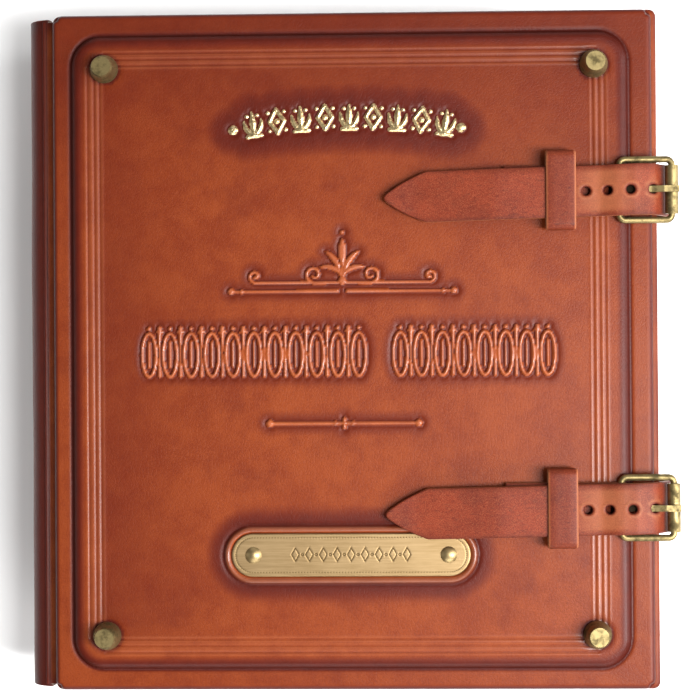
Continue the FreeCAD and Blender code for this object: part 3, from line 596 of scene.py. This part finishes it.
# how dark the leather is burnished, and over how many mm it fades; head and spine are painted shade, darker
# towards the head and the spine
burnishAndShade = {"field": ((0.60, 4.2), (0.24, 11.0)), "wall": (0.96, 1.5), "rim": (0.30, 4.0), "frame": 0.33,
           "head": (0.25, 50.0), "spine": (0.24, 42.0), "edge": (0.75, 2.4), "crease": 0.42,
           "creases": (0.24, 4.0), "stud": ((0.85, 1.4), (0.45, 4.5)), "lip": (0.80, 1.2),
           "plate": (0.70, 10.0), "skirt": 0.75, "plain": (0.648, 0.52, 6.0), "gilded": (0.684, 0.68, 13.0)}


def coverLines(front):
    # the grid: fine where there is something to carve
    lowX, highX = album["panelX"]
    halfY = album["panelHalf"]
    edges = [(lowX, -95), (93, highX)]
    if front:
        fineX, coarseX, fineY, coarseY = cover["rows"]
        carved = [(-136, -106), (-94, -67), (-33, -25), (-14, 13), (20, 48), (82, 101), (108, 136)]
        return (spacedLines(lowX, highX, fineX, coarseX, edges + [(-86, 85)]),
                spacedLines(-halfY, halfY, fineY, coarseY, carved))
    return (spacedLines(lowX, highX, *cover["backRows"], edges),
            spacedLines(-halfY, halfY, *cover["backRows"], [(-136, -108), (108, 136)]))


def carvePanel(x, y):
    # raised field, rounded outer edge, tooled lines and the hollows round the feet
    inField = boxDistance(x - album["fieldX"], y, album["fieldHalf"], album["fieldCorner"])
    rise = album["fieldTop"] - album["panelTop"]
    height = album["panelTop"] + rise * quarterRound(np.clip(-inField / cover["wall"], 0, 1))
    height -= 0.35 * fade(inField - cover["foot"], 0.7)
    within = np.maximum(-inField, 0)
    dark = sum(glow(within, *tint) for tint in burnishAndShade["field"])
    dark = np.where(inField < 0, dark, glow(inField, *burnishAndShade["wall"]))
    dark = np.maximum(dark, glow(inField, *burnishAndShade["rim"]))
    dark = np.maximum(dark, burnishAndShade["frame"] * (inField > 0))
    # painted shade: the leather grows darker towards the head and towards the spine, away from the light
    fromHead, fromSpine = album["fieldHalf"][1] - y, x - album["fieldX"] + album["fieldHalf"][0]
    shade = np.maximum(glow(fromHead, *burnishAndShade["head"]),
                       glow(fromSpine, *burnishAndShade["spine"]) * smooth(within, 5, 14))
    dark = dark + (1 - dark) * shade

    lowX, highX = album["panelX"]
    half = ((highX - lowX) / 2, album["panelHalf"])
    outline = -boxDistance(x - (lowX + highX) / 2, y, half, album["panelCorner"])
    height -= cover["round"] * (1 - quarterRound(np.clip(outline / cover["round"], 0, 1)))
    amount, width = burnishAndShade["edge"]
    dark = np.maximum(dark, amount * fade(outline, width))

    line = np.full(x.shape, farAway)
    studX, studY = album["studX"], album["studY"]
    for place in creases["across"]:
        line = np.minimum(line, np.abs(x - place) + 9 * (np.abs(y) > studY + 1))
    for place in creases["up"]:
        line = np.minimum(line, np.abs(y - place) + 9 * (np.abs(x - album["fieldX"]) > studX + 1))
    press = fade(line, creases["radius"])
    height -= creases["depth"] * press
    height += 0.16 * fade(line - creases["ridge"], 0.35)
    dark = np.maximum(dark, burnishAndShade["crease"] * press)
    # the ridges beside the creases are paled: rubbing and a painted highlight
    rub = 0.22 * fade(line - creases["ridge"], 0.4)
    dark = np.maximum(dark, glow(line, *burnishAndShade["creases"]))

    stud = np.hypot(np.abs(x - album["fieldX"]) - studX, np.abs(y) - studY) - album["studRadius"]
    height -= 0.3 * fade(np.maximum(stud, -3), 1.3)
    for tint in burnishAndShade["stud"]:
        dark = np.maximum(dark, glow(stud, *tint))
    return height, dark, rub


def carveOrnament(relief, height, dark, rub):
    # the padded lip round the name plate, then the raised ornament, plain and gilded
    inside = boxDistance(relief.x - plate["x"], relief.y - plate["y"], plate["half"], plate["corner"])
    lip = np.clip(1 - ((inside - 0.25 - plate["lip"] / 2) / (plate["lip"] / 2)) ** 2, 0, 1)
    ditch = inside - plate["lip"] - 0.9
    amount, width = burnishAndShade["lip"]
    height = height + cover["lipRise"] * np.sqrt(lip) - 0.3 * fade(ditch, 0.8)
    dark = np.maximum(dark, amount * fade(ditch, width))
    dark = np.maximum(dark, glow(inside - 2, *burnishAndShade["plate"]) * (inside > 1))
    # the lip round the plate is paled: rubbing and a painted highlight
    rub = np.maximum(rub, 0.45 * lip)
    for distance, edge, halo, spread in ((relief.plain, *burnishAndShade["plain"]),
                                         (relief.gilded, *burnishAndShade["gilded"])):
        height += 0.85 * quarterRound(np.clip(-distance / 0.75, 0, 1))
        height -= glow(distance, 0.38, 1.1) * (distance > 0)
        dark = np.maximum(dark, glow(distance, edge, 0.8) * (distance > -0.05))
        dark = np.maximum(dark, glow(distance, halo, spread) * (distance > 0))
        if distance is relief.plain:
            # the raised plain ornament is paled: rubbing and painted highlights
            rub = np.maximum(rub, 0.40 * smooth(-distance, 0.0, 0.5))
            dark = np.where(distance < 0, dark * 0.3, dark)
    gilt = smooth(-relief.gilded, -0.25, 0.15)
    return height, np.where(relief.gilded < 0, 0, dark), rub, gilt


def roundedCorners(x, y):
    # pull the square grid's corners in to the panel's rounded outline
    lowX, highX = album["panelX"]
    middleX, halfX, halfY = (lowX + highX) / 2, (highX - lowX) / 2, album["panelHalf"]
    corner = album["panelCorner"]
    px, py = x.copy(), y.copy()
    for sx in (-1, 1):
        for sy in (-1, 1):
            u = (sx * (x - middleX) - halfX + corner) / corner
            v = (sy * y - halfY + corner) / corner
            inCorner = (u > 0) & (v > 0)
            scale = np.where(inCorner, np.maximum(u, v) / np.maximum(np.hypot(u, v), 1e-9), 1)
            px = np.where(inCorner, middleX + sx * (halfX - corner + u * scale * corner), px)
            py = np.where(inCorner, sy * (halfY - corner + v * scale * corner), py)
    return px, py


def coverSkin(name, body, node, front):
    # the leather over a cover's outer panel, with the ornament on the front one
    relief = Relief(*coverLines(front))
    height, dark, rub = carvePanel(relief.x, relief.y)
    gilt = np.zeros_like(dark)
    if front:
        for carve in (carveGiltArc, carveFan, carveFrieze, carveRule):
            carve(relief)
        height, dark, rub, gilt = carveOrnament(relief, height, dark, rub)
    rows, columns = relief.x.shape
    points = np.stack([*roundedCorners(relief.x, relief.y), height], -1).reshape(-1, 3)
    border = gridBorder(rows, columns)
    skirt = points[border].copy()
    skirt[:, 2] = album["panelFoot"] + cover["skirt"]
    middleX = sum(album["panelX"]) / 2
    inset = (skirt - (middleX, 0, 0)) * (cover["inset"], cover["inset"], 1) + (middleX, 0, 0)
    faces = gridFaces(rows, columns)
    total, count = rows * columns, len(border)
    hem = total + np.arange(count)
    faces += bridge(border, hem) + bridge(hem, hem + count) + [(hem + count)[::-1].tolist()]
    points = np.concatenate([points, skirt, inset])
    if not front:
        points[:, 2] = 2 * album["middle"] - points[:, 2]
        faces = [face[::-1] for face in faces]
    pad = np.full(2 * count, burnishAndShade["skirt"])
    values = {"dark": np.concatenate([dark.ravel(), pad]), "rub": np.concatenate([rub.ravel(), pad * 0]),
              "gilt": np.concatenate([gilt.ravel(), pad * 0])}
    piece = putMesh(name, points, faces, "cover_leather", body, values)
    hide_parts(node)


coverSkin("front_cover_skin", "front_cover", "front_panel_leather", True)
coverSkin("back_cover_skin", "back_cover", "back_panel_leather", False)
print("cover leather done")


def roundedOutline(halfX, halfY, corner, step=3.0):
    # points round a rounded rectangle, anticlockwise
    spots = []
    for sx, sy, start in ((1, 1, 0), (-1, 1, 1), (-1, -1, 2), (1, -1, 3)):
        for share in np.linspace(0, 1, 7):
            angle = (start + share) * math.pi / 2
            spots.append((sx * (halfX - corner) + corner * math.cos(angle),
                          sy * (halfY - corner) + corner * math.sin(angle)))
    spots.append(spots[0])
    spots = np.array(spots)
    dense = []
    for a, b in zip(spots, spots[1:]):
        pieces = max(1, int(np.linalg.norm(b - a) / step))
        dense.extend(a + (b - a) * share for share in np.arange(pieces) / pieces)
    return np.array(dense)


case = {"turnIn": 0.35, "corner": 3.0, "edge": 1.7, "insets": (2.6, 5.0, 9.0, 14.0), "wave": 0.10,
        "dark": 0.55}


def caseSkin(side, low, high, seed):
    # the leather round a cover's case board: rounded rims, with rings of points over both faces
    low, high = np.array(low, float), np.array(high, float)
    middle, half = (low + high) / 2, (high - low) / 2
    outline = roundedOutline(half[0], half[1], case["corner"])
    ways = np.roll(outline, -1, 0) - np.roll(outline, 1, 0)
    ways = np.stack([ways[:, 1], -ways[:, 0]], -1) / np.linalg.norm(ways, axis=1, keepdims=True)
    edge, insets = case["edge"], case["insets"]
    rim = [(edge * (1 - math.sin(angle)), half[2] - edge * (1 - math.cos(angle)))
           for angle in np.linspace(1, 0, 6) * math.pi / 2]
    upper = rim + [(inset, half[2]) for inset in insets]
    rings = [(inset, -z) for inset, z in reversed(upper)] + upper
    points, burn = [], []
    phases = np.random.default_rng(seed).uniform(0, 6.28, 6)
    reach = np.arange(len(outline)) / len(outline) * 2 * math.pi
    ripple = sum(np.sin(reach * (7 + 5 * k) + phases[k]) / (1 + k) for k in range(6))
    for inset, z in rings:
        shift = case["wave"] * ripple * (1 if inset < 3 else 0.3)
        # past the first inset the outline shrinks instead, so that its corners do not cross
        near = min(inset, insets[0])
        ring = (outline - ways * near) * (half[:2] - inset) / (half[:2] - near) + ways * shift[:, None] * 0.4
        points.append(np.column_stack([ring, np.full(len(outline), z)]) + middle)
        burn.append(case["dark"] * fade(inset, 2.6) * (0.8 + 0.2 * np.sin(ripple)))
    count = len(outline)
    faces = gridFaces(len(rings), count, wrapColumns=True)
    faces.append(list(range(count))[::-1])
    faces.append([(len(rings) - 1) * count + index for index in range(count)])
    piece = putMesh(side + "_case_skin", np.concatenate(points), faces, "case_leather", side + "_cover",
                    {"dark": np.concatenate(burn)})
    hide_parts(side + "_case_leather")


foot, top = album["caseFoot"] - case["turnIn"], album["panelFoot"]
for side, low, high, seed in (("front", foot, top, 3),
                              ("back", 2 * album["middle"] - top, 2 * album["middle"] - foot, 4)):
    caseSkin(side, (album["caseX"][0], -album["caseHalf"], low), (album["caseX"][1], album["caseHalf"], high),
             seed)

spine = {
    "line": ((-121.0, 55.7), (-127.35, 53.04), (-129.8, 45.06), (-129.8, 28.34), (-127.35, 20.36),
             (-121.0, 17.7)),
    "turns": (9.0, 20.0, 20.0, 9.0), "half": 134.0, "thickness": 1.4,
}


def bentSheet(path, halfWidth, thickness, middleY=0.0, side=1, step=2.0, endDark=0.5, wave=0.0,
              acrossStep=6.0, edgeRound=0.5):
    # a sheet swept along Y with softly rounded rims; side says which way from the path it is thick
    total = path[1][-1]
    along = np.linspace(0, total, max(4, int(total / step)) + 1)
    across = np.linspace(-halfWidth, halfWidth, max(3, int(2 * halfWidth / acrossStep)) + 1)
    rim = halfWidth - np.array([edgeRound, edgeRound * 0.3, 0])
    across = np.unique(np.concatenate([across[(np.abs(across) < rim[0] - 0.1)], rim, -rim]))
    place, normal = alongPath(path, along)
    phases = np.random.default_rng(1).uniform(0, 6.28, 5)
    points, dark = [], []
    for depth in (0.0, 1.0):
        for y in across:
            edge = max(0.0, (abs(y) - rim[0]) / edgeRound)
            squeeze = 0.5 * (1 - math.sqrt(max(0.0, 1 - edge ** 2)))
            share = depth + (squeeze if depth == 0 else -squeeze)
            ripple = wave * sum(math.sin(y / (9 + 7 * k) + phases[k]) for k in range(5)) / 5
            spots = place - normal * side * (share * thickness) + normal * side * ripple * (1 - depth)
            points.append(np.column_stack([spots[:, 0], np.full(len(along), y + middleY), spots[:, 1]]))
            ends = np.minimum(along - along[0], along[-1] - along)
            dark.append(endDark * np.maximum(fade(ends, 2.5), fade(halfWidth - abs(y), 2.5)))
    rows, columns = len(across), len(along)
    turned = side < 0
    faces = gridFaces(rows, columns, 0, turned=turned)
    faces += gridFaces(rows, columns, rows * columns, turned=not turned)
    border = gridBorder(rows, columns)
    walls = bridge(border, border + rows * columns)
    faces += [face[::-1] for face in walls] if turned else walls
    return np.concatenate(points), faces, {"dark": np.concatenate(dark)}


spinePath = turnedPath(spine["line"], spine["turns"])
points, faces, values = bentSheet(spinePath, spine["half"], spine["thickness"], side=-1, step=1.2,
                                  endDark=0.8, wave=0.25)
# painted shade: the spine darkens where it curves round towards the covers, over a darker base that is partly
# burnish and partly painted shade
turned = np.clip((np.abs(points[:, 2] - album["middle"]) - 8.0) / 8.0, 0, 1)
values["dark"] = np.maximum(values["dark"], 0.30 + 0.34 * turned)
piece = putMesh("spine_skin", points, faces, "case_leather", "spine", values)
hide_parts("spine_leather")

# the spine leather folded over its head and tail
turnIn = {"middle": 133.95, "half": 0.42, "thickness": 4.15, "round": 0.35}
for end, way in (("head", 1), ("tail", -1)):
    points, faces, values = bentSheet(spinePath, turnIn["half"], turnIn["thickness"],
                                      way * turnIn["middle"], -1, 1.2, edgeRound=turnIn["round"])
    putMesh("spine_turn_in_" + end, points, faces, "case_leather", "spine", values)

# soft joints where the leather goes on from the spine on to each cover
joint = {"from": -122.35, "to": -116.35, "half": 133.2, "thickness": 0.9}
for name, body, z, way in (("front_joint", "front_cover", 55.7, 1), ("back_joint", "back_cover", 17.7, -1)):
    line = [(joint["from"], z + way * 0.35), (-120.15, z - way * 0.5), (joint["to"], z + way * 0.9)]
    path = turnedPath(line, [1.6])
    points, faces, values = bentSheet(path, joint["half"], joint["thickness"], side=way, step=0.6,
                                      endDark=0.6)
    piece = putMesh(name, points, faces, "case_leather", None, values)
    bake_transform(piece)
print("case and spine done")


strap = {"width": 20.0, "thickness": 2.2, "edge": 0.45}


def stampedSheet(outline, holes, cuts):
    # a flat strap cut to an outline with holes in it, rims rounded, sliced crosswise so that it can bend
    thickness, edge = strap["thickness"], strap["edge"]
    curve = bpy.data.curves.new("stamp", "CURVE")
    curve.dimensions = "2D"
    curve.fill_mode = "BOTH"
    curve.extrude = (thickness / 2 - edge) * mm
    curve.bevel_depth = edge * mm
    curve.bevel_resolution = 2
    curve.offset = -edge * mm
    loops = [outline]
    for x, y, radius in holes:
        angle = np.linspace(0, 2 * math.pi, 25)[:-1]
        loops.append(np.stack([x + radius * np.cos(angle), y - radius * np.sin(angle)], -1))
    for loop in loops:
        spline = curve.splines.new("POLY")
        spline.points.add(len(loop) - 1)
        spline.use_cyclic_u = True
        for point, (x, y) in zip(spline.points, loop):
            point.co = (x * mm, y * mm, 0, 1)
    holder = bpy.data.objects.new("stamp", curve)
    bpy.context.scene.collection.objects.link(holder)
    mesh = bpy.data.meshes.new_from_object(holder.evaluated_get(bpy.context.evaluated_depsgraph_get()))
    bpy.data.objects.remove(holder)
    made = bmesh.new()
    made.from_mesh(mesh)
    bmesh.ops.remove_doubles(made, verts=made.verts, dist=0.00001)
    for place, direction in cuts:
        bmesh.ops.bisect_plane(made, geom=made.verts[:] + made.edges[:] + made.faces[:], dist=0.000002,
                               plane_co=(place * mm, 0, 0) if direction == "x" else (0, place * mm, 0),
                               plane_no=(1, 0, 0) if direction == "x" else (0, 1, 0))
    bmesh.ops.recalc_face_normals(made, faces=made.faces)
    made.verts.ensure_lookup_table()
    points = np.array([v.co for v in made.verts]) / mm
    faces = [[v.index for v in f.verts] for f in made.faces]
    made.free()
    bpy.data.meshes.remove(mesh)
    return points, faces


def strapTints(flat, holes, tipEdge=None):
    # dark seasoned rims on top, pale cut edges, and painted shade on the hole walls and round the holes
    x, y, z = flat.T
    fromEdge = strap["width"] / 2 - np.abs(y)
    if tipEdge is not None:
        fromEdge = np.minimum(fromEdge, tipEdge(x, y))
    side = (np.abs(z) < strap["thickness"] / 2 - strap["edge"] * 0.9) & (fromEdge < 0.2)
    raw = np.where(side, 0.8, 0.0)
    dark = glow(fromEdge, 0.38, 0.9) * ~side
    for hx, hy, radius in holes:
        r = np.hypot(x - hx, y - hy) - radius
        # painted shade in and round each hole
        dark = np.maximum(dark, 0.95 * (r < 0.12))
        dark = np.maximum(dark, glow(r, 0.55, 0.7))
        raw = np.maximum(raw, 0.40 * fade(r - 1.5, 0.6) * (z > 0) * ~side)
        raw = np.where(r < 0.15, 0, raw)
    if holes:  # painted sheen: the stretch before the buckle, where the strap slopes down to it, is painted paler
        paintedSheen = fade(x - 61.0, 11.0) * smooth(fromEdge, 0.3, 2.5)
        raw = np.maximum(raw, 0.38 * paintedSheen * (z > 0) * (dark < 0.3))
    return {"dark": dark, "raw": raw}


def alongStrap(path, flat, y):
    # bend a flat strap along a path
    place, normal = alongPath(path, flat[:, 0])
    spots = place - normal * flat[:, 2:3]
    return np.column_stack([spots[:, 0], flat[:, 1] + y, spots[:, 1]]), normal


def roundedTip(length, width, point):
    # outline of a strap end, from the square end at 0 to the tip at length
    half = width / 2
    upper = bow((length - point, half), (length - point * 0.42, half * 0.62), (length - 1.2, 1.5), 16)
    nose = bow((length - 1.2, -1.5), (length + 0.45, 0), (length - 1.2, 1.5), 7)[1:-1]
    return np.concatenate([[(0, -half)], upper * (1, -1), nose, upper[::-1], [(0, half)]])


billet = {
    "line": ((126.5, 31.0), (126.5, 60.7), (123.9, 65.35), (119.1, 71.09), (112.3, 72.70), (105.8, 72.70),
             (99.3, 70.75), (58.5, 70.75), (27.0, 68.1), (14.1, 68.1)),
    "turns": (4.0, 4.0, 4.0, 4.0, 12.0, 12.0, 60.0, 60.0),
    "holes": (110.55, 102.0, 93.45), "prongHole": 119.1, "holeRadius": 1.6, "prongHoleRadius": 1.7,
    "point": 17.0, "slice": 1.4, "upright": 34.0, "lean": 0.0235, "leanFrom": 66.0, "crown": 0.07,
    "cutsAlong": (1.1, 1.7, 2.3, 2.9, 3.7, 7.0), "cutsAtHole": (1.3, 2.0, 2.6, 3.3),
}
billetPath = turnedPath(billet["line"], billet["turns"])
billetLength = billetPath[1][-1]


def distanceAtX(x):
    # how far along the billet's path this x is, on its way in over the cover
    spots, length = billetPath
    inward = length > billet["upright"]
    order = np.argsort(spots[inward, 0])
    return float(np.interp(x, spots[inward, 0][order], length[inward][order]))


def tipEdge(x, y):
    # distance to the edge of the pointed end
    allowed = np.interp(billetLength - x, [0, 1.2, billet["point"] * 0.42, billet["point"], 400],
                        [0, 1.5, 6.8, 10, 10])
    return (allowed - np.abs(y)) * 0.75


def makeBillet(side, y):
    spareHoles = [(distanceAtX(x), 0.0, billet["holeRadius"]) for x in billet["holes"]]
    holes = spareHoles + [(distanceAtX(billet["prongHole"]), 0.0, billet["prongHoleRadius"])]
    cuts = [(place, "x") for place in np.arange(billet["slice"], billetLength, billet["slice"])]
    cuts += [(place, "y") for place in (0.0, *billet["cutsAlong"], *(-cut for cut in billet["cutsAlong"]))]
    cuts += [(hole[0] + sign * cut, "x") for hole in spareHoles for sign in (-1, 1)
             for cut in billet["cutsAtHole"]]
    flat, faces = stampedSheet(roundedTip(billetLength, strap["width"], billet["point"]), holes, cuts)
    points, normal = alongStrap(billetPath, flat, y)
    # crowned across, and raised and pressed in round the holes
    crown = billet["crown"] * (1 - (flat[:, 1] / (strap["width"] / 2)) ** 2)
    for hx, hy, radius in spareHoles:
        beyond = np.hypot(flat[:, 0] - hx, flat[:, 1] - hy) - radius
        crown += 0.09 * fade(beyond - 1.15, 0.6) - glow(beyond, 0.30, 0.55)
    points[:, [0, 2]] -= normal * (crown * (flat[:, 2] > 0))[:, None]
    points[:, 1] -= billet["lean"] * np.maximum(billet["prongHole"] - points[:, 0], 0) * (
        points[:, 2] > billet["leanFrom"])
    piece = putMesh(side + "_billet", points, faces, "strap_leather", None, strapTints(flat, holes, tipEdge))
    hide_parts(side + "_strap_billet")
    side + "_strap_side"
    side + "_strap_billet"
    y * mm
    y * mm
    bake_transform(piece)


tail = {"line": ((65.0, 6.55), (126.5, 6.55), (126.5, 31.0)), "turn": 12.0, "slice": 1.5}


def makeTail(side, y):
    # the strap from its rivets on the back cover to the fore-edge
    path = turnedPath(tail["line"], [tail["turn"]])
    length, half = path[1][-1], strap["width"] / 2
    cuts = [(place, "x") for place in np.arange(tail["slice"], length, tail["slice"])]
    cuts += [(place, "y") for place in (-6, 0, 6)]
    flat, faces = stampedSheet([(0, -half), (length, -half), (length, half), (0, half)], [], cuts)
    points, normal = alongStrap(path, flat, y)
    piece = putMesh(side + "_strap_tail", points, faces, "strap_leather", None, strapTints(flat, []))
    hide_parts(side + "_strap_anchor", side + "_strap_side")
    side + "_strap_side"
    y * mm
    y * mm
    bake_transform(piece)


chape = {
    "line": ((61.5, 66.35), (108.8, 66.35), (108.8, 70.35), (105.3, 70.35), (100.3, 68.75), (61.5, 68.75)),
    "turns": (2.0, 2.0, 2.5, 2.5), "half": 9.9, "thickness": 1.2, "slotHalf": 2.7, "slotFrom": 102.2,
}


def makeChape(side, y):
    # the short strap folded round the heel bar of the buckle, slotted for the prong
    points, faces, values = bentSheet(turnedPath(chape["line"], chape["turns"], 0.5), chape["half"],
                                      chape["thickness"], y, -1, 0.8, 0.4, acrossStep=2.4, edgeRound=0.35)
    fromMiddle = np.abs(points[:, 1] - y)
    values["raw"] = np.where(np.abs(fromMiddle - chape["half"]) < 0.05, 0.8, 0.0)
    slot = (fromMiddle < chape["slotHalf"]) & (points[:, 0] > chape["slotFrom"])
    faces = [face for face in faces if not all(slot[index] for index in face)]
    piece = putMesh(side + "_chape_skin", points, faces, "strap_leather", "front_cover", values)
    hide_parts(side + "_chape")


keeper = {"x": 77.8, "width": 11.6, "half": 15.7, "low": 67.05, "top": 73.25, "wall": 2.0, "roof": 1.15,
          "corners": (2.6, 0.7), "slices": (0.0, 0.35, 1.0, 4.0, 7.6, 10.6, 11.25, 11.6)}


def makeKeeper(side, y):
    # a loop round the strap, its rims rounded and its cut edges pale
    halfHigh, centre = (keeper["top"] - keeper["low"]) / 2, (keeper["top"] + keeper["low"]) / 2
    outer = roundedOutline(keeper["half"], halfHigh, keeper["corners"][0], 1.5)
    inner = roundedOutline(keeper["half"] - keeper["wall"], halfHigh - keeper["roof"],
                           keeper["corners"][1], 1.5)
    count = len(outer)
    shares = np.linspace(0, count, len(inner) + 1)
    inner = np.stack([np.interp(np.arange(count), shares, np.append(inner[:, axis], inner[0, axis]))
                      for axis in (0, 1)], -1)
    rings, raw = [], []
    for width in keeper["slices"]:
        rim = min(width, keeper["width"] - width)
        pull = 0.42 * max(0.0, 1 - rim / 0.9) ** 2
        rings.append((width, outer * (1 - pull / keeper["half"], 1 - pull / halfHigh)))
        raw.append(1.0 if rim < 0.1 else 0.45 if rim < 0.5 else 0.0)
    rings += [(keeper["width"], inner), (0.0, inner)]
    raw = np.repeat(raw + [1.0, 1.0], count)
    points = np.concatenate([np.column_stack([np.full(count, keeper["x"] + width), ring + (y, centre)])
                             for width, ring in rings])
    faces = gridFaces(len(rings), count, wrapRows=True, wrapColumns=True, turned=True)
    piece = putMesh(side + "_keeper_loop", points, faces, "strap_leather", side + "_keeper",
                    {"raw": raw * 0.9, "dark": 0.24 * (raw < 0.4)})
    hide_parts(side + "_keeper")


for side, y in (("upper", album["strapY"]), ("lower", -album["strapY"])):
    for make in (makeBillet, makeTail, makeChape, makeKeeper):
        make(side, y)
print("straps done")


engraving = {"step": 0.28, "bevel": (0.45, 0.5), "ring": 1.75, "dot": 1.15, "depth": 0.10, "pitch": 5.5,
             "end": 22.0, "lozenge": (1.5, 2.6), "y": 0.2}


def plateRelief():
    # brass plate: bevelled rim, a dotted line inside it and a row of lozenges with beads between them
    half, step = plate["half"], engraving["step"]
    x, y = np.meshgrid(spacedLines(-half[0], half[0], step, step, []),
                       spacedLines(-half[1], half[1], step, step, []))
    # squeeze the rectangular grid into the plate's outline
    straight = half[0] - half[1]
    px = x / half[0] * (straight + np.sqrt(np.clip(half[1] ** 2 - y ** 2, 0, None)))
    inside = -boxDistance(px, y, half, plate["corner"])
    drop, width = engraving["bevel"]
    height = album["fieldTop"] + plate["depth"] - drop * (1 - np.clip(inside / width, 0, 1)) ** 2
    past = np.abs(px) - straight
    along = np.where(past < 0, px, np.sign(px) * (straight + half[1] * np.arctan2(past, np.abs(y) + 1e-6)))
    dots = 0.5 + 0.5 * np.cos(along * 2 * math.pi / engraving["dot"])
    engraved = fade(inside - engraving["ring"], 0.22) * (0.25 + 0.75 * dots)
    wide, high = engraving["lozenge"]
    up = y - engraving["y"]
    for centre in np.arange(-engraving["end"], engraving["end"] + 0.1, engraving["pitch"]):
        lozenge = np.abs(px - centre) / wide + np.abs(up) / high - 1
        bead = np.hypot(px - centre - engraving["pitch"] / 2, up) - 0.45
        engraved = np.maximum(engraved, fade(lozenge, 0.16))
        engraved = np.maximum(engraved, fade(bead, 0.2) * (centre < engraving["end"] - 1))
    height = height - engraving["depth"] * engraved
    rows, columns = x.shape
    points = np.stack([px + plate["x"], y + plate["y"], height], -1).reshape(-1, 3)
    border = gridBorder(rows, columns)
    skirt = points[border].copy()
    skirt[:, 2] = album["fieldTop"] + 0.05
    faces = gridFaces(rows, columns)
    total, count = rows * columns, len(border)
    hem = total + np.arange(count)
    faces += bridge(border, hem) + [hem[::-1].tolist()]
    dark = np.concatenate([engraved.ravel(), np.full(count, 0.3)])
    return np.concatenate([points, skirt]), faces, {"dark": dark}


def plateFinish():
    paint = Finish("engravedBrass")
    brushed = paint.noise(0.7, 3.0, 0.7, (0.05, 1.0, 1.0))
    cloud = paint.noise(22.0, 3.0, 0.5)
    streak = (brushed * 0.7 + cloud * 0.4).between(0.3, 0.8)
    colour = paint.mix(streak, (0.20, 0.130, 0.058), (0.29, 0.200, 0.102))
    engraved = paint.attribute("dark").between(0.25, 0.7)
    colour = paint.mix(engraved, colour, (0.09, 0.055, 0.022))
    rough = (0.40 + 0.12 * brushed + 0.2 * engraved).clamped()
    return paint.shade({"Base Color": colour, "Roughness": rough, "Normal": paint.bump(brushed, 0.10, 0.04),
                        "Metallic": 1.0})


points, faces, values = plateRelief()
piece = putMesh("name_plate_engraved", points, faces, "plate_brass", "front_cover", values, plateFinish())
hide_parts("name_plate")
print("name plate done")


def dress(node, slotName):
    shown = nodes[node]
    shown.data.materials.clear()
    shown.data.materials.append(finishes[slotName])
    shown.data.polygons.foreach_set("use_smooth", [True] * len(shown.data.polygons))


# the part of the prong under the strap is painted black as shade, so that it does not shine through the hole
# beside it
prongBrass = metalFinish("prongBrass", *oldBrass, paintedShadeBelow=114.5)
slotOf = {part["node"]: part["material_slot"] for part in frame["record"]["subparts"]}
for node, shown in nodes.items():
    if not shown.hide_render:
        dress(node, slotOf[node])
for side in ("upper", "lower"):
    nodes[side + "_prong"].data.materials[0] = prongBrass
print("carried-over nodes dressed")


setting = {"floor": (3, -0.0002), "world": 0.22, "cameraAt": (0.01969, -0.0030, 0.7409),
           "cameraTurn": (0.004646, 0.028035, -0.006720), "lens": 88.0}

reach, low = setting["floor"]
floorMesh = bpy.data.meshes.new("studioFloor")
corners = [(x * reach, y * reach, low) for x, y in ((-1, -1), (1, -1), (1, 1), (-1, 1))]
floorMesh.from_pydata(corners, [], [(0, 1, 2, 3)])
floor = bpy.data.objects.new("studioFloor", floorMesh)
bpy.context.scene.collection.objects.link(floor)
paper = Finish("studioPaper")
tone = paper.noise(60.0, 2.0, 0.5)
floorMesh.materials.append(paper.shade({"Base Color": paper.mix(tone, (0.90, 0.90, 0.90), (0.93, 0.93, 0.93)),
                                        "Roughness": 0.8 + 0.1 * tone}))

world = bpy.data.worlds.new("studio")
bpy.context.scene.world = world
world.use_nodes = True
sky = world.node_tree.nodes["Background"].inputs
sky["Color"].default_value = (1.0, 0.985, 0.96, 1)
sky["Strength"].default_value = setting["world"]


def softLight(name, place, size, power):
    # a rectangular lamp, in metres and watts, aimed at the album's middle
    lamp = bpy.data.lights.new(name, "AREA")
    lamp.shape = "RECTANGLE"
    lamp.size, lamp.size_y = size
    lamp.energy = power
    holder = bpy.data.objects.new(name, lamp)
    bpy.context.scene.collection.objects.link(holder)
    holder.location = place
    holder.rotation_euler = (Vector((0, 0, 0.04)) - Vector(place)).to_track_quat("-Z", "Y").to_euler()


softLight("windowRight", (1.35, 0.10, 0.80), (1.1, 1.6), 28.0)
softLight("windowHigh", (0.64, -0.20, 1.05), (0.30, 0.90), 32.0)
softLight("leftPanel", (-1.35, -0.1, 0.62), (0.8, 1.4), 2.5)
softLight("backPanel", (-0.1, 1.35, 0.66), (1.4, 0.8), 4.0)
softLight("nearPanel", (0.2, -1.35, 0.70), (1.4, 0.8), 20.0)

lens = bpy.data.cameras.new("studioCamera")
lens.lens = setting["lens"]
lens.sensor_width = 36.0
lens.clip_start = 0.01
camera = bpy.data.objects.new("studioCamera", lens)
bpy.context.scene.collection.objects.link(camera)
camera.location = setting["cameraAt"]
camera.rotation_euler = setting["cameraTurn"]
bpy.context.scene.camera = camera
bpy.context.scene.view_settings.view_transform = "Standard"
print("setting done")
